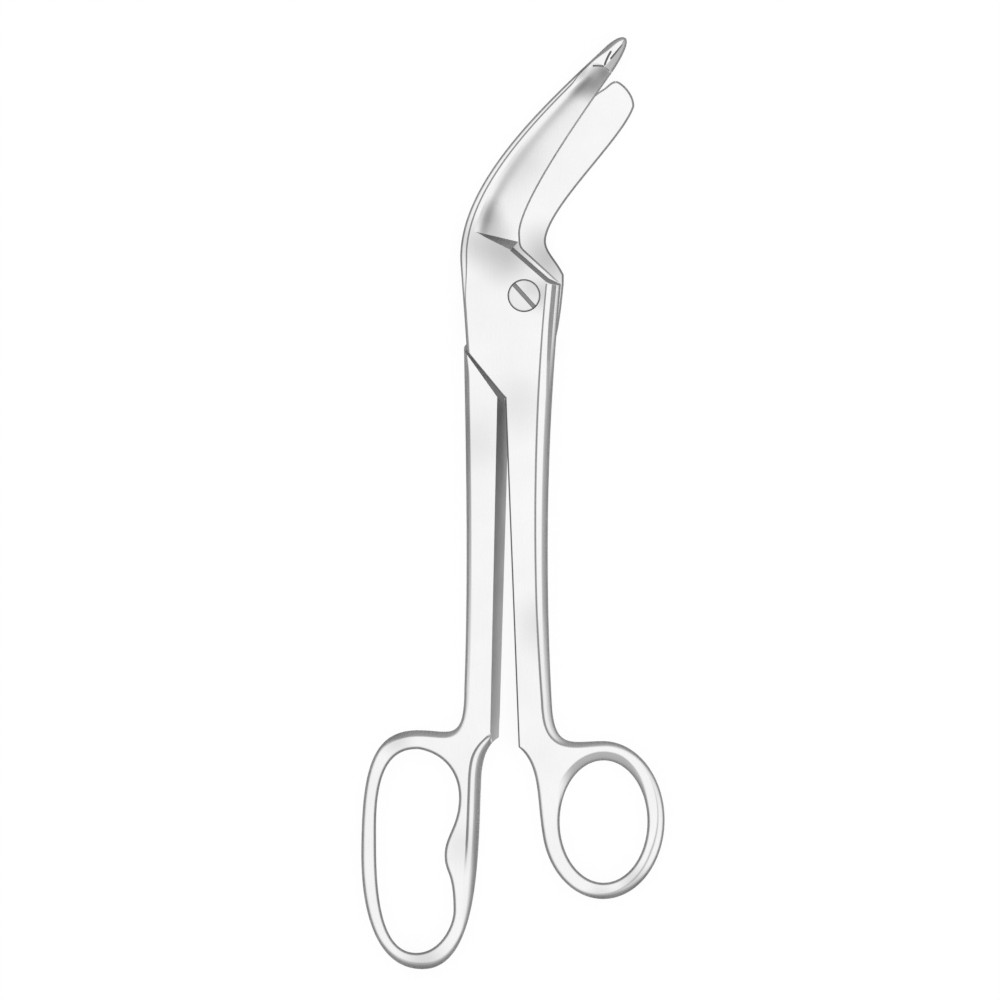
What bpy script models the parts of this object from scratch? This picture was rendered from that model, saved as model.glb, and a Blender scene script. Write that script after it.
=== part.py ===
"""Angled bandage scissors.

Two forged halves cross at a lap joint and turn on one slotted screw. The pivot axis is +Z through the
origin, the blades point towards +Y, and the underside of the lap lies on z = 0. Both halves are drawn in
plan with the scissors closed, and the front half is then turned open.

A half is drawn with its outside face up: the outside carries the hollow grind, the step in front of the
lap face and the long falling band on the back of the shank. The rear half is the same kind of forging
turned over, so that the two flat inside faces slide on each other.
"""
from collections import namedtuple
from math import acos
from math import atan2
from math import cos
from math import degrees
from math import pi
from math import radians
from math import sin
from math import tan

import bmesh
import bpy
from mathutils import Matrix
from mathutils import Vector
from mathutils.geometry import interpolate_bezier

# Thickness of the forgings, in metres
LAP_HALF_THICKNESS = 0.0040
NECK_HALF_THICKNESS = 0.0031
BOW_HALF_THICKNESS = 0.0028
BLADE_TIP_HALF_THICKNESS = 0.0025
KEEN_THICKNESS = 0.0006

# Running clearances
LAP_GAP = 0.0003
PARTING_CLEARANCE = 0.0004
SHOULDER_CLEARANCE = 0.0005
SCREW_CLEARANCE = 0.0003
TIP_CLEARANCE = 0.0007

# How far the scissors stand open, in degrees
REST_OPENING = 3.5

# Lap joint: the widths beside the pivot, and four straight flats, each at a distance from the pivot
# along a bearing in degrees
FRONT_LAP_LEFT = 0.0159
FRONT_LAP_RIGHT = 0.0094
REAR_LAP_LEFT = 0.0155
REAR_LAP_RIGHT = 0.0100
FRONT_HEEL_FLAT = 0.0087
FRONT_HEEL_BEARING = 43.8
FRONT_SHOULDER_FLAT = 0.0205
FRONT_SHOULDER_BEARING = 216.0
REAR_HEEL_FLAT = 0.0126
REAR_HEEL_BEARING = 141.7
REAR_SHOULDER_FLAT = 0.0150
REAR_SHOULDER_BEARING = -41.2
REAR_LAP_FOOT = 0.0073
REAR_LAP_SIDE_RISE = 0.0030
LAP_CORNER_RADIUS = 0.0018
LAP_NOSE_RADIUS = 0.0005
HEEL_RADIUS = 0.0030

# Blades: the end of the front spine is placed first, and the other ends are measured back from it and
# across from it
TIP_SIDE = 0.0254
TIP_RISE = 0.0632
TIP_HEADING = 46.5
PROBE_WIDTH = 0.0056
PROBE_LENGTH = 0.0060
PROBE_NOSE = 0.0044
PROBE_NOSE_SIDE = 0.0024
PROBE_RIDGE_SIDE = 0.00305
PROBE_FACET_WIDTH = 0.0045
PROBE_FACET_BACK = 0.0047
PROBE_FACET_SLOPE = 38.0
FRONT_HEEL_SIDE = 0.0003
FRONT_KEEN_RISE = 0.0159
FRONT_SPINE_RISE = 0.0089
REAR_TIP_SETBACK = 0.0068
REAR_TIP_OFFSET = 0.0042
REAR_TIP_WIDTH = 0.0077
REAR_SPINE_SETBACK = 0.0083
REAR_KEEN_SETBACK = 0.0103
REAR_KEEN_OFFSET = 0.0033
REAR_HEEL_SIDE = 0.0065
REAR_KEEN_SIDE = 0.0053
REAR_KEEN_RISE = 0.0150
REAR_NOTCH_SIDE = 0.0054
REAR_NOTCH_RISE = 0.0143
REAR_NOTCH_FOOT = 0.0054

# Hollow grind, step and ledge on the outside of each blade
LAND_WIDTH = 0.0027
LAND_END_WIDTH = 0.0010
HOLLOW_SAG = 0.6
HOLLOW_NOSE = 0.0015
HOLLOW_LEAD = 0.08
STEP_RISE = 0.0170
STEP_RUN = 0.0036
FRONT_STEP_SIDE = -0.0026
REAR_STEP_SIDE = -0.0040
LEDGE_SETBACK = 0.0025
LEDGE_WALL_RUN = 0.0012
LEDGE_OVERLAP = 0.0003
RUN_OUT_LENGTH = 0.0070
RUN_OUT_TURN = 25.0
BLADE_ROOT = 0.0180

# Shanks and the slanted parting wall between them
FRONT_SHANK_REACH = 0.1162
REAR_SHANK_REACH = 0.1139
REAR_SHANK_SHOULDER = 0.0135
THINNING_START = 0.0280
PARTING_OFFSET = 0.00614
PARTING_LEAN = 1.216
PARTING_SLANT = 21.0
FRONT_NECK_WIDTH = 0.0088
FRONT_NECK_RISE = 0.0117
REAR_NECK_WIDTH = 0.0067
REAR_NECK_RISE = 0.0127
SHANK_BAND_WIDTH = 0.0028
LAP_BAND_WIDTH = 0.0032
BAND_DROP = 0.0022

# Thumb ring of the front half, over its outside
THUMB_RING_SIDE = 0.0121
THUMB_RING_DROP = 0.0201
THUMB_RING_WIDTH = 0.0318
THUMB_RING_LENGTH = 0.0408
THUMB_RIM_SIDE = 0.0042
THUMB_RIM_TOP = 0.0048
THUMB_RIM_BOTTOM = 0.0038
THUMB_NECK_SLOPE = -43.5

# Finger bow of the rear half, over its outside
FINGER_BOW_LENGTH = 0.0617
FINGER_BOW_WIDTH = 0.0307
FINGER_BOW_RISE = 0.0018
FINGER_BOW_SIDE = 0.0113
FINGER_BOW_NECK_DROP = 0.0147
FINGER_BOW_WIDEST_DROP = 0.0324
FINGER_BOW_TOP_SIDE = 0.0147
FINGER_BOW_LOW_SIDE = 0.0163
FINGER_RIM_LEFT = 0.0035
FINGER_RIM_TOP = 0.0044
FINGER_RIM_BOTTOM = 0.0039
FINGER_RIM_NECK = 0.0050
FINGER_RIM_LOWER = 0.0063
FINGER_HOLE_TOP_SIDE = 0.0149
FINGER_HOLE_LOW_SIDE = 0.0142
FINGER_HOLE_NECK_DROP = 0.0174
FINGER_HOLE_SIDE_DROP = 0.0249
FINGER_HOLE_LOWER_RISE = 0.0152
FINGER_REST_HEIGHT = 0.0039
FINGER_REST_DROP = 0.0322

# Pivot screw
SCREW_HEAD_RADIUS = 0.0039
SCREW_HEAD_DEPTH = 0.0019
SCREW_JOURNAL_RADIUS = 0.0030
SCREW_THREAD_RADIUS = 0.0026
SCREW_EDGE = 0.0003
SLOT_WIDTH = 0.00113
SLOT_DEPTH = 0.0010
SLOT_BEARING = -48.0

# Facets of the curves, and how far a cutter reaches past what it cuts
CURVE_STEP = 0.0016
SHARP_ANGLE = 35.0
FEWEST_STEPS = 9
RECESS_STEPS = 48
ROUNDING_ROWS = 3
HOLLOW_STATIONS = 26
HOLLOW_COLUMNS = 6
SCREW_SEGMENTS = 48
CUTTER_MARGIN = 0.0015

Edge = namedtuple("Edge", "in_width in_drop in_bulge out_width out_drop out_bulge")
Stretch = namedtuple("Stretch", "points begin end keep")

# How each edge of a half is dressed: how far the dressing reaches in and down from the inside face and
# from the outside face, and how full it is, from 0 for a flat bevel to 1 for a quarter round
KEEN_EDGE = Edge(0.0002, 0.0002, 0.0, 0.0002, 0.0002, 0.0)
SPINE_EDGE = Edge(0.0003, 0.0003, 0.0, 0.0012, 0.0009, 0.3)
PROBE_EDGE = Edge(0.0009, 0.0016, 0.8, 0.0009, 0.0016, 0.8)
LAP_BAND_EDGE = Edge(0.0014, 0.0012, 1.0, LAP_BAND_WIDTH, BAND_DROP, 0.6)
SHANK_BAND_EDGE = Edge(0.0014, 0.0012, 1.0, SHANK_BAND_WIDTH, BAND_DROP, 0.6)
NECK_BAND_EDGE = Edge(0.0007, 0.0010, 1.0, SHANK_BAND_WIDTH, BAND_DROP, 0.6)
THUMB_NECK_EDGE = Edge(0.0006, 0.0008, 1.0, 0.0006, 0.0008, 1.0)
FINGER_NECK_EDGE = Edge(0.0030, 0.0020, 0.6, 0.0014, 0.0020, 1.0)
FINGER_CORNER_EDGE = Edge(0.0018, 0.0020, 0.6, 0.0002, 0.0020, 0.6)
BOW_EDGE = Edge(0.0013, 0.0024, 1.0, 0.0013, 0.0024, 1.0)
BORE_EDGE = Edge(0.0009, 0.0018, 1.0, 0.0009, 0.0018, 1.0)
BORE_TOP_EDGE = Edge(0.0018, 0.0020, 0.8, 0.0018, 0.0020, 0.8)


def toward(heading):
    """Unit vector in plan, with the heading in degrees from +X."""
    return Vector((cos(radians(heading)), sin(radians(heading))))


def curve(start, leave, leave_pull, end, arrive, arrive_pull):
    """Cubic curve from start to end: headings in degrees, pulls as shares of the chord."""
    start = Vector(start)
    end = Vector(end)
    chord = (end - start).length
    first = start + toward(leave) * leave_pull * chord
    second = end - toward(arrive) * arrive_pull * chord
    steps = max(FEWEST_STEPS, round(chord / CURVE_STEP))
    return [Vector(p[:2]) for p in interpolate_bezier(start, first, second, end, steps + 1)]


def rounded(corner, arrive, leave, radius):
    """Arc that rounds off the corner between two straight headings."""
    turn = abs((leave - arrive + 180.0) % 360.0 - 180.0)
    reach = radius * tan(radians(turn / 2))
    pull = radius * tan(radians(turn / 4)) * 4 / 3
    start = corner - toward(arrive) * reach
    end = corner + toward(leave) * reach
    handles = (start + toward(arrive) * pull, end - toward(leave) * pull)
    return [Vector(p[:2]) for p in interpolate_bezier(start, *handles, end, 5)]


def ellipse(centre, width, length, tilt, begin, finish):
    """Points round an ellipse between two angles in degrees."""
    mean_radius = (width + length) / 4
    steps = max(8, round(radians(abs(finish - begin)) * mean_radius / CURVE_STEP))
    turn = Matrix.Rotation(radians(tilt), 2)
    points = []
    for i in range(steps + 1):
        angle = radians(begin + (finish - begin) * i / steps)
        points.append(centre + turn @ Vector((cos(angle) * width / 2, sin(angle) * length / 2)))
    return points


def straight(start, end):
    """Points along a straight run, about two curve steps apart."""
    steps = max(1, round((end - start).length / (2 * CURVE_STEP)))
    return [start.lerp(end, i / steps) for i in range(steps + 1)]


def flat_at(distance, bearing, x):
    """Point at x on the flat that lies at a distance from the pivot along a bearing."""
    return Vector((x, (distance - x * cos(radians(bearing))) / sin(radians(bearing))))


def resample(points, count):
    """The same line with its points evenly spaced."""
    lengths = [0.0]
    for before, after in zip(points, points[1:]):
        lengths.append(lengths[-1] + (after - before).length)
    even = []
    for i in range(count):
        want = lengths[-1] * i / (count - 1)
        k = max(j for j in range(len(points) - 1) if lengths[j] <= want + 1e-12)
        share = (want - lengths[k]) / (lengths[k + 1] - lengths[k])
        even.append(points[k].lerp(points[k + 1], min(share, 1.0)))
    return even


def offset(points, distance):
    """The line moved to its left by a distance."""
    moved = []
    for i, point in enumerate(points):
        before = points[max(i - 1, 0)]
        after = points[min(i + 1, len(points) - 1)]
        along = (after - before).normalized()
        moved.append(point + Vector((-along.y, along.x)) * distance)
    return moved


def thinning_marks():
    """Where along Y the forging changes thickness, and its half thickness there."""
    neck = -FRONT_SHANK_REACH + THUMB_RING_DROP / 4
    bow = -FRONT_SHANK_REACH - THUMB_RING_DROP / 2
    return [
        (-THINNING_START, LAP_HALF_THICKNESS),
        (neck, NECK_HALF_THICKNESS),
        (bow, BOW_HALF_THICKNESS),
    ]


def half_thickness(y):
    """Half thickness of the forging at y, thinning from the lap to the bows."""
    marks = thinning_marks()
    if y >= marks[0][0]:
        return marks[0][1]
    for (high, thick), (low, thin) in zip(marks, marks[1:]):
        if y >= low:
            return thick + (thin - thick) * (high - y) / (high - low)
    return marks[-1][1]


def parting_x(y):
    """Where the two shanks part, at their visible edge."""
    return -PARTING_OFFSET + y * tan(radians(PARTING_LEAN))


def parting_run(y):
    """How far the slanted parting wall reaches sideways through the thickness."""
    return 2 * half_thickness(y) * tan(radians(PARTING_SLANT))


def blend(first, second, share):
    return Edge(*(a + (b - a) * share for a, b in zip(first, second)))


def parting_edge(y):
    """The slanted wall, from the outside edge of a half to its inside face."""
    drop = 2 * LAP_HALF_THICKNESS - KEEN_EDGE.out_drop
    return KEEN_EDGE._replace(in_width=parting_run(y), in_drop=drop)


def dress(stretches):
    """Join the stretches of a closed outline into points, each with its own edge."""
    points = []
    edges = []
    kept = []
    for stretch in stretches:
        last = len(stretch.points) - 1
        for i, point in enumerate(stretch.points):
            if points and (point - points[-1]).length < CURVE_STEP / 10:
                continue
            points.append(point)
            edges.append(blend(stretch.begin, stretch.end, i / last))
            kept.append(stretch.keep)
    if (points[0] - points[-1]).length < CURVE_STEP / 10:
        points.pop()
        edges.pop()
        kept.pop()
    for _ in range(3):
        smooth = [blend(edges[i], blend(edges[i - 1], edges[(i + 1) % len(edges)], 0.5), 0.5)
                  for i in range(len(edges))]
        edges = [old if keep else new for old, new, keep in zip(edges, smooth, kept)]
    return points, edges


def profile(edge):
    """Inset and height of each row from the inside face up to the outside face."""
    rows = []
    for k in range(ROUNDING_ROWS + 1):
        share = k / ROUNDING_ROWS
        reach = edge.in_bulge * sin(share * pi / 2) + (1 - edge.in_bulge) * share
        fall = edge.in_bulge * (1 - cos(share * pi / 2)) + (1 - edge.in_bulge) * share
        rows.append((edge.in_width * (1 - reach), edge.in_drop * fall - LAP_HALF_THICKNESS))
    for k in range(ROUNDING_ROWS, -1, -1):
        share = k / ROUNDING_ROWS
        reach = edge.out_bulge * sin(share * pi / 2) + (1 - edge.out_bulge) * share
        fall = edge.out_bulge * (1 - cos(share * pi / 2)) + (1 - edge.out_bulge) * share
        rows.append((edge.out_width * (1 - reach), LAP_HALF_THICKNESS - edge.out_drop * fall))
    return rows


def wall(bm, points, edges):
    """Raise the wall of one closed outline, and return its lowest and highest loops of edges."""
    columns = []
    for i, point in enumerate(points):
        arriving = (point - points[i - 1]).normalized()
        leaving = (points[(i + 1) % len(points)] - point).normalized()
        inward = Vector((-arriving.y - leaving.y, arriving.x + leaving.x)).normalized()
        mitre = 1 / max(0.6, inward.dot(Vector((-leaving.y, leaving.x))))
        column = []
        for inset, height in profile(edges[i]):
            place = point + inward * inset * mitre
            column.append(bm.verts.new((place.x, place.y, height)))
        columns.append(column)
    for left, right in zip(columns, columns[1:] + columns[:1]):
        for k in range(len(left) - 1):
            bm.faces.new((left[k], right[k], right[k + 1], left[k + 1]))
    loops = []
    for row in (0, -1):
        ends = zip(columns, columns[1:] + columns[:1])
        loops.append([bm.edges.get((left[row], right[row])) for left, right in ends])
    return loops


def new_object(name, bm):
    bmesh.ops.recalc_face_normals(bm, faces=bm.faces)
    mesh = bpy.data.meshes.new(name)
    bm.to_mesh(mesh)
    bm.free()
    made = bpy.data.objects.new(name, mesh)
    bpy.context.scene.collection.objects.link(made)
    return made


def forged_blank(name, outline, opening):
    """Plate with dressed edges: the outline of a half with the opening of its bow."""
    bm = bmesh.new()
    low_outer, high_outer = wall(bm, *outline)
    low_inner, high_inner = wall(bm, *opening)
    bmesh.ops.triangle_fill(bm, use_beauty=True, edges=low_outer + low_inner)
    bmesh.ops.triangle_fill(bm, use_beauty=True, edges=high_outer + high_inner)
    return new_object(name, bm)


def loft(name, rings):
    """Closed cutter through rings that have the same number of points."""
    bm = bmesh.new()
    rows = [[bm.verts.new(point) for point in ring] for ring in rings]
    for before, after in zip(rows, rows[1:]):
        for k in range(len(before)):
            j = (k + 1) % len(before)
            bm.faces.new((before[k], before[j], after[j], after[k]))
    bm.faces.new(rows[0])
    bm.faces.new(rows[-1])
    bmesh.ops.triangulate(bm, faces=bm.faces)
    return new_object(name, bm)


def slab(name, points, low, high):
    """Closed cutter with straight walls over a plan outline."""
    return loft(name, [[(p.x, p.y, low) for p in points], [(p.x, p.y, high) for p in points]])


def round_cutter(name, radius, low, high):
    points = [toward(360.0 * i / SCREW_SEGMENTS) * radius for i in range(SCREW_SEGMENTS)]
    return slab(name, points, low, high)


def lap_recess(name, flat, bearing, reach):
    """Slab that takes the inside half of the thickness from the lap and the blade.

    It ends at a shoulder beside the flat of the other half, and at a distance from the pivot.
    """
    shoulder = flat + SHOULDER_CLEARANCE
    opening = degrees(acos(shoulder / reach))
    points = []
    for i in range(RECESS_STEPS + 1):
        points.append(toward(bearing + opening + (360.0 - 2 * opening) * i / RECESS_STEPS) * reach)
    return slab(name, points, -LAP_HALF_THICKNESS - CUTTER_MARGIN, LAP_GAP / 2)


def hollow_grind(name, land, keen, land_step, keen_step):
    """Cutter for the hollow between the land and the keen edge, with its step and its round run-out.

    land and keen run from the root to the tip, the keen line a little outside the blade. The two step
    points are where the slanted wall of the step comes up to the face.
    """
    land = resample(land, HOLLOW_STATIONS)
    keen = resample(keen, HOLLOW_STATIONS)
    full_depth = LAP_HALF_THICKNESS - LAP_GAP / 2 - KEEN_THICKNESS
    above = -LAP_GAP / full_depth
    stations = [(land_step, keen_step, above, 0.0)]
    for near, far in zip(land, keen):
        left = ((land[-1] - near).length + (keen[-1] - far).length) / 2
        share = min(1.0, left / RUN_OUT_LENGTH)
        stations.append((near, far, sin(share * pi / 2), (1 - share) * HOLLOW_NOSE))
    past = toward(TIP_HEADING) * LAP_GAP
    stations.append((land[-1] + past, keen[-1] + past, above, HOLLOW_NOSE))
    rings = []
    for near, far, depth, nose in stations:
        ring = []
        for k in range(HOLLOW_COLUMNS + 1):
            share = (1 + HOLLOW_LEAD) * k / HOLLOW_COLUMNS - HOLLOW_LEAD
            fall = depth * full_depth * (share + HOLLOW_SAG * share * (1 - share))
            if depth <= 0:
                fall = depth * full_depth
            place = near.lerp(far, share) + toward(TIP_HEADING) * 4 * nose * share * (1 - share)
            ring.append((place.x, place.y, LAP_HALF_THICKNESS - fall))
        top = LAP_HALF_THICKNESS + CUTTER_MARGIN
        last = near.lerp(far, -HOLLOW_LEAD)
        ring.append((far.x, far.y, top))
        ring.append((last.x, last.y, top))
        rings.append(ring)
    return loft(name, rings)


def heel_ledge(name, flat, bearing, step_corner, lap_corner):
    """Cutter for the ledge and its slanted wall along a heel flat, from the step out past the lap."""
    normal = toward(bearing)
    along = toward(bearing + 90.0)
    if along.dot(lap_corner - step_corner) < 0:
        along = -along
    begin = along.dot(step_corner) - LEDGE_OVERLAP
    finish = along.dot(lap_corner) + 2 * CUTTER_MARGIN
    floor = LAP_GAP / 2 + KEEN_THICKNESS
    depth = LAP_HALF_THICKNESS - floor
    over = 1 + CUTTER_MARGIN / depth
    foot = LEDGE_SETBACK - LEDGE_WALL_RUN
    section = [
        (-CUTTER_MARGIN, floor),
        (foot, floor),
        (foot + LEDGE_WALL_RUN * over, floor + depth * over),
        (-CUTTER_MARGIN, floor + depth * over),
    ]
    rings = []
    for place in (begin, finish):
        ring = []
        for inside, height in section:
            point = normal * (flat - inside) + along * place
            ring.append((point.x, point.y, height))
        rings.append(ring)
    return loft(name, rings)


def cut(body, cutter):
    """Take the cutter away from the body."""
    cutter.hide_render = True
    cutter.display_type = "WIRE"
    boolean = body.modifiers.new("Cut", "BOOLEAN")
    boolean.operation = "DIFFERENCE"
    boolean.solver = "EXACT"
    boolean.object = cutter
    evaluated = body.evaluated_get(bpy.context.evaluated_depsgraph_get())
    mesh = bpy.data.meshes.new_from_object(evaluated)
    body.modifiers.clear()
    body.data = mesh
    bpy.data.objects.remove(cutter)


def finish_half(body, turned_over):
    """Thin the shank, the bow and the blade, and set the half at its height."""
    bm = bmesh.new()
    bm.from_mesh(body.data)
    for y, _ in thinning_marks():
        everything = bm.verts[:] + bm.edges[:] + bm.faces[:]
        bmesh.ops.bisect_plane(bm, geom=everything, dist=1e-7, plane_co=(0, y, 0), plane_no=(0, 1, 0))
    blade_reach = Vector((TIP_SIDE, TIP_RISE)).length
    lap_face = LAP_GAP / 2
    for vert in bm.verts:
        scale = half_thickness(vert.co.y) / LAP_HALF_THICKNESS
        reach = vert.co.xy.length
        if vert.co.y > 0 and reach > BLADE_ROOT and abs(vert.co.z) > lap_face:
            share = min(1.0, (reach - BLADE_ROOT) / (blade_reach - BLADE_ROOT))
            thin = 1 + (BLADE_TIP_HALF_THICKNESS / LAP_HALF_THICKNESS - 1) * share
            side = 1 if vert.co.z > 0 else -1
            vert.co.z = side * (lap_face + (abs(vert.co.z) - lap_face) * thin)
        else:
            vert.co.z *= scale
        if turned_over:
            vert.co.z = -vert.co.z
        vert.co.z += LAP_HALF_THICKNESS
    bmesh.ops.triangulate(bm, faces=bm.faces)
    bmesh.ops.dissolve_degenerate(bm, dist=1e-7, edges=bm.edges)
    bmesh.ops.recalc_face_normals(bm, faces=bm.faces)
    bm.to_mesh(body.data)
    bm.free()


def steel(name, colour, roughness):
    material = bpy.data.materials.new(name)
    material.use_nodes = True
    shader = material.node_tree.nodes["Principled BSDF"]
    shader.inputs["Base Color"].default_value = (*colour, 1.0)
    shader.inputs["Metallic"].default_value = 1.0
    shader.inputs["Roughness"].default_value = roughness
    return material


def shade(body, material):
    body.data.materials.clear()
    body.data.materials.append(material)
    body.data.shade_smooth()
    body.data.set_sharp_from_angle(angle=radians(SHARP_ANGLE))


def tip_point(back, right):
    """Point measured back from the probe tip and to the right of the blade's heading."""
    tip = Vector((TIP_SIDE, TIP_RISE))
    return tip - toward(TIP_HEADING) * back + toward(TIP_HEADING - 90.0) * right


def front_spine():
    """Spine of the front blade, from the lap up to the probe."""
    root = (-FRONT_LAP_LEFT, FRONT_SPINE_RISE)
    return curve(root, 91.0, 0.31, tip_point(0, 0), TIP_HEADING - 6.6, 0.293)


def front_keen():
    """Keen edge of the front blade, from the heel up to the probe."""
    root = (-FRONT_HEEL_SIDE, FRONT_KEEN_RISE)
    return curve(root, 87.8, 0.175, tip_point(PROBE_LENGTH, PROBE_WIDTH), TIP_HEADING + 5.0, 0.191)


def rear_spine():
    """Spine of the rear blade, from the notch up to the round tip."""
    root = (REAR_NOTCH_SIDE, REAR_NOTCH_RISE)
    end = tip_point(REAR_SPINE_SETBACK, REAR_TIP_OFFSET + REAR_TIP_WIDTH)
    return curve(root, 85.8, 0.22, end, 73.0, 0.21)


def rear_keen():
    """Keen edge of the rear blade, from the heel up to the round tip."""
    root = (-REAR_KEEN_SIDE, REAR_KEEN_RISE)
    end = tip_point(REAR_KEEN_SETBACK, REAR_KEEN_OFFSET)
    return curve(root, 65.1, 0.325, end, 30.7, 0.30)


def probe_facet(name):
    """Cutter for the bevel on the probe's right side, from its ridge out and from the bar to the tip."""
    low = LAP_HALF_THICKNESS - PROBE_FACET_WIDTH * tan(radians(PROBE_FACET_SLOPE))
    high = LAP_HALF_THICKNESS + CUTTER_MARGIN
    rings = []
    for back in (PROBE_FACET_BACK, -PROBE_NOSE - CUTTER_MARGIN):
        ridge = tip_point(back, PROBE_RIDGE_SIDE)
        side = tip_point(back, PROBE_RIDGE_SIDE + PROBE_FACET_WIDTH)
        ring = [(ridge.x, ridge.y, LAP_HALF_THICKNESS), (side.x, side.y, low)]
        rings.append(ring + [(side.x, side.y, high), (ridge.x, ridge.y, high)])
    return loft(name, rings)


def land_line(spine, side, setback):
    """Where the land meets the hollow: beside the spine, and running out to it a little before its end."""
    line = [p for p in offset(spine, side * LAND_WIDTH) if p.y > STEP_RISE]
    line = [p for p in line if (p - spine[-1]).length > setback + RUN_OUT_LENGTH]
    ends = [p for p in offset(spine, side * LAND_END_WIDTH) if (p - spine[-1]).length > setback]
    along = line[-1] - line[-2]
    heading = degrees(atan2(along.y, along.x))
    return line + curve(line[-1], heading, 0.4, ends[-1], heading - side * RUN_OUT_TURN, 0.3)[1:]


def rear_tip_reach():
    """Distance from the pivot to the far end of the rear blade."""
    return tip_point(REAR_TIP_SETBACK, REAR_TIP_OFFSET).length


def front_outline():
    """Outline of the front half, closed, from the foot of its neck round the ring and the blade."""
    tilt = -REST_OPENING
    centre = Vector((THUMB_RING_SIDE, -FRONT_SHANK_REACH - THUMB_RING_DROP))
    ring = ellipse(centre, THUMB_RING_WIDTH, THUMB_RING_LENGTH, tilt, -170.0, 90.0)
    neck_y = -FRONT_SHANK_REACH + FRONT_NECK_RISE
    neck = Vector((parting_x(neck_y) + FRONT_NECK_WIDTH, neck_y))
    lap_right = flat_at(FRONT_HEEL_FLAT, FRONT_HEEL_BEARING, FRONT_LAP_RIGHT)
    shoulder_heading = FRONT_SHOULDER_BEARING + 90.0
    heel_heading = FRONT_HEEL_BEARING + 90.0
    lap_low = flat_at(FRONT_SHOULDER_FLAT, FRONT_SHOULDER_BEARING, -FRONT_LAP_LEFT)
    heel = flat_at(FRONT_HEEL_FLAT, FRONT_HEEL_BEARING, -FRONT_HEEL_SIDE)
    edge_x = parting_x(-FRONT_SHOULDER_FLAT) + PARTING_CLEARANCE / 2
    shoulder_end = flat_at(FRONT_SHOULDER_FLAT, FRONT_SHOULDER_BEARING, edge_x)
    shank_end = Vector((parting_x(-FRONT_SHANK_REACH) + PARTING_CLEARANCE / 2, -FRONT_SHANK_REACH))
    keen = front_keen()
    spine = front_spine()[::-1]
    nose = tip_point(-PROBE_NOSE, PROBE_NOSE_SIDE)
    probe_side = curve(keen[-1], TIP_HEADING + 3.1, 0.3, nose, TIP_HEADING + 96.4, 0.18)
    probe_end = curve(nose, TIP_HEADING + 92.1, 0.29, spine[0], TIP_HEADING + 170.4, 0.28)
    lap_corner = rounded(lap_right, 81.0, heel_heading, LAP_NOSE_RADIUS)
    stretches = [
        Stretch(ring, BOW_EDGE, BOW_EDGE, False),
        Stretch(curve(ring[-1], 180.0 + tilt, 0.5, neck, 88.6, 0.78), BOW_EDGE, SHANK_BAND_EDGE, False),
        Stretch(curve(neck, 89.5, 0.341, lap_corner[0], 81.0, 0.337), SHANK_BAND_EDGE, LAP_BAND_EDGE,
                True),
        Stretch(lap_corner, KEEN_EDGE, KEEN_EDGE, True),
        Stretch(rounded(heel, heel_heading, 90.0, HEEL_RADIUS), KEEN_EDGE, KEEN_EDGE, True),
        Stretch(keen, KEEN_EDGE, KEEN_EDGE, True),
        Stretch(probe_side[1:], KEEN_EDGE, PROBE_EDGE, False),
        Stretch(probe_end[1:], PROBE_EDGE, PROBE_EDGE, False),
        Stretch(spine, SPINE_EDGE, SPINE_EDGE, False),
        Stretch(straight(spine[-1], Vector((-FRONT_LAP_LEFT, 0))), SPINE_EDGE, SPINE_EDGE, False),
        Stretch(rounded(lap_low, -90.0, shoulder_heading, LAP_CORNER_RADIUS), SPINE_EDGE, KEEN_EDGE,
                False),
        Stretch(straight(lap_low, shoulder_end)[1:-1], KEEN_EDGE, KEEN_EDGE, True),
        Stretch(straight(shoulder_end, shank_end), parting_edge(shoulder_end.y),
                parting_edge(shank_end.y), True),
        Stretch(curve(shank_end, THUMB_NECK_SLOPE, 0.32, ring[0], -84.0, 0.4)[1:], THUMB_NECK_EDGE,
                BOW_EDGE, False),
    ]
    return dress(stretches)


def front_opening():
    """The hole of the thumb ring, with its material on the left of the line."""
    tilt = -REST_OPENING
    centre = Vector((THUMB_RING_SIDE, -FRONT_SHANK_REACH - THUMB_RING_DROP))
    centre += toward(90.0 + tilt) * (THUMB_RIM_BOTTOM - THUMB_RIM_TOP) / 2
    width = THUMB_RING_WIDTH - 2 * THUMB_RIM_SIDE
    length = THUMB_RING_LENGTH - THUMB_RIM_TOP - THUMB_RIM_BOTTOM
    stretches = [
        Stretch(ellipse(centre, width, length, tilt, 200.0, 20.0), BORE_TOP_EDGE, BORE_TOP_EDGE, False),
        Stretch(ellipse(centre, width, length, tilt, 20.0, -160.0), BORE_EDGE, BORE_EDGE, False),
    ]
    return dress(stretches)


def finger_bow_box():
    """Left, right, bottom and top of the finger bow."""
    right = -FINGER_BOW_SIDE
    top = -REAR_SHANK_REACH + FINGER_BOW_RISE
    return right - FINGER_BOW_WIDTH, right, top - FINGER_BOW_LENGTH, top


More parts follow.
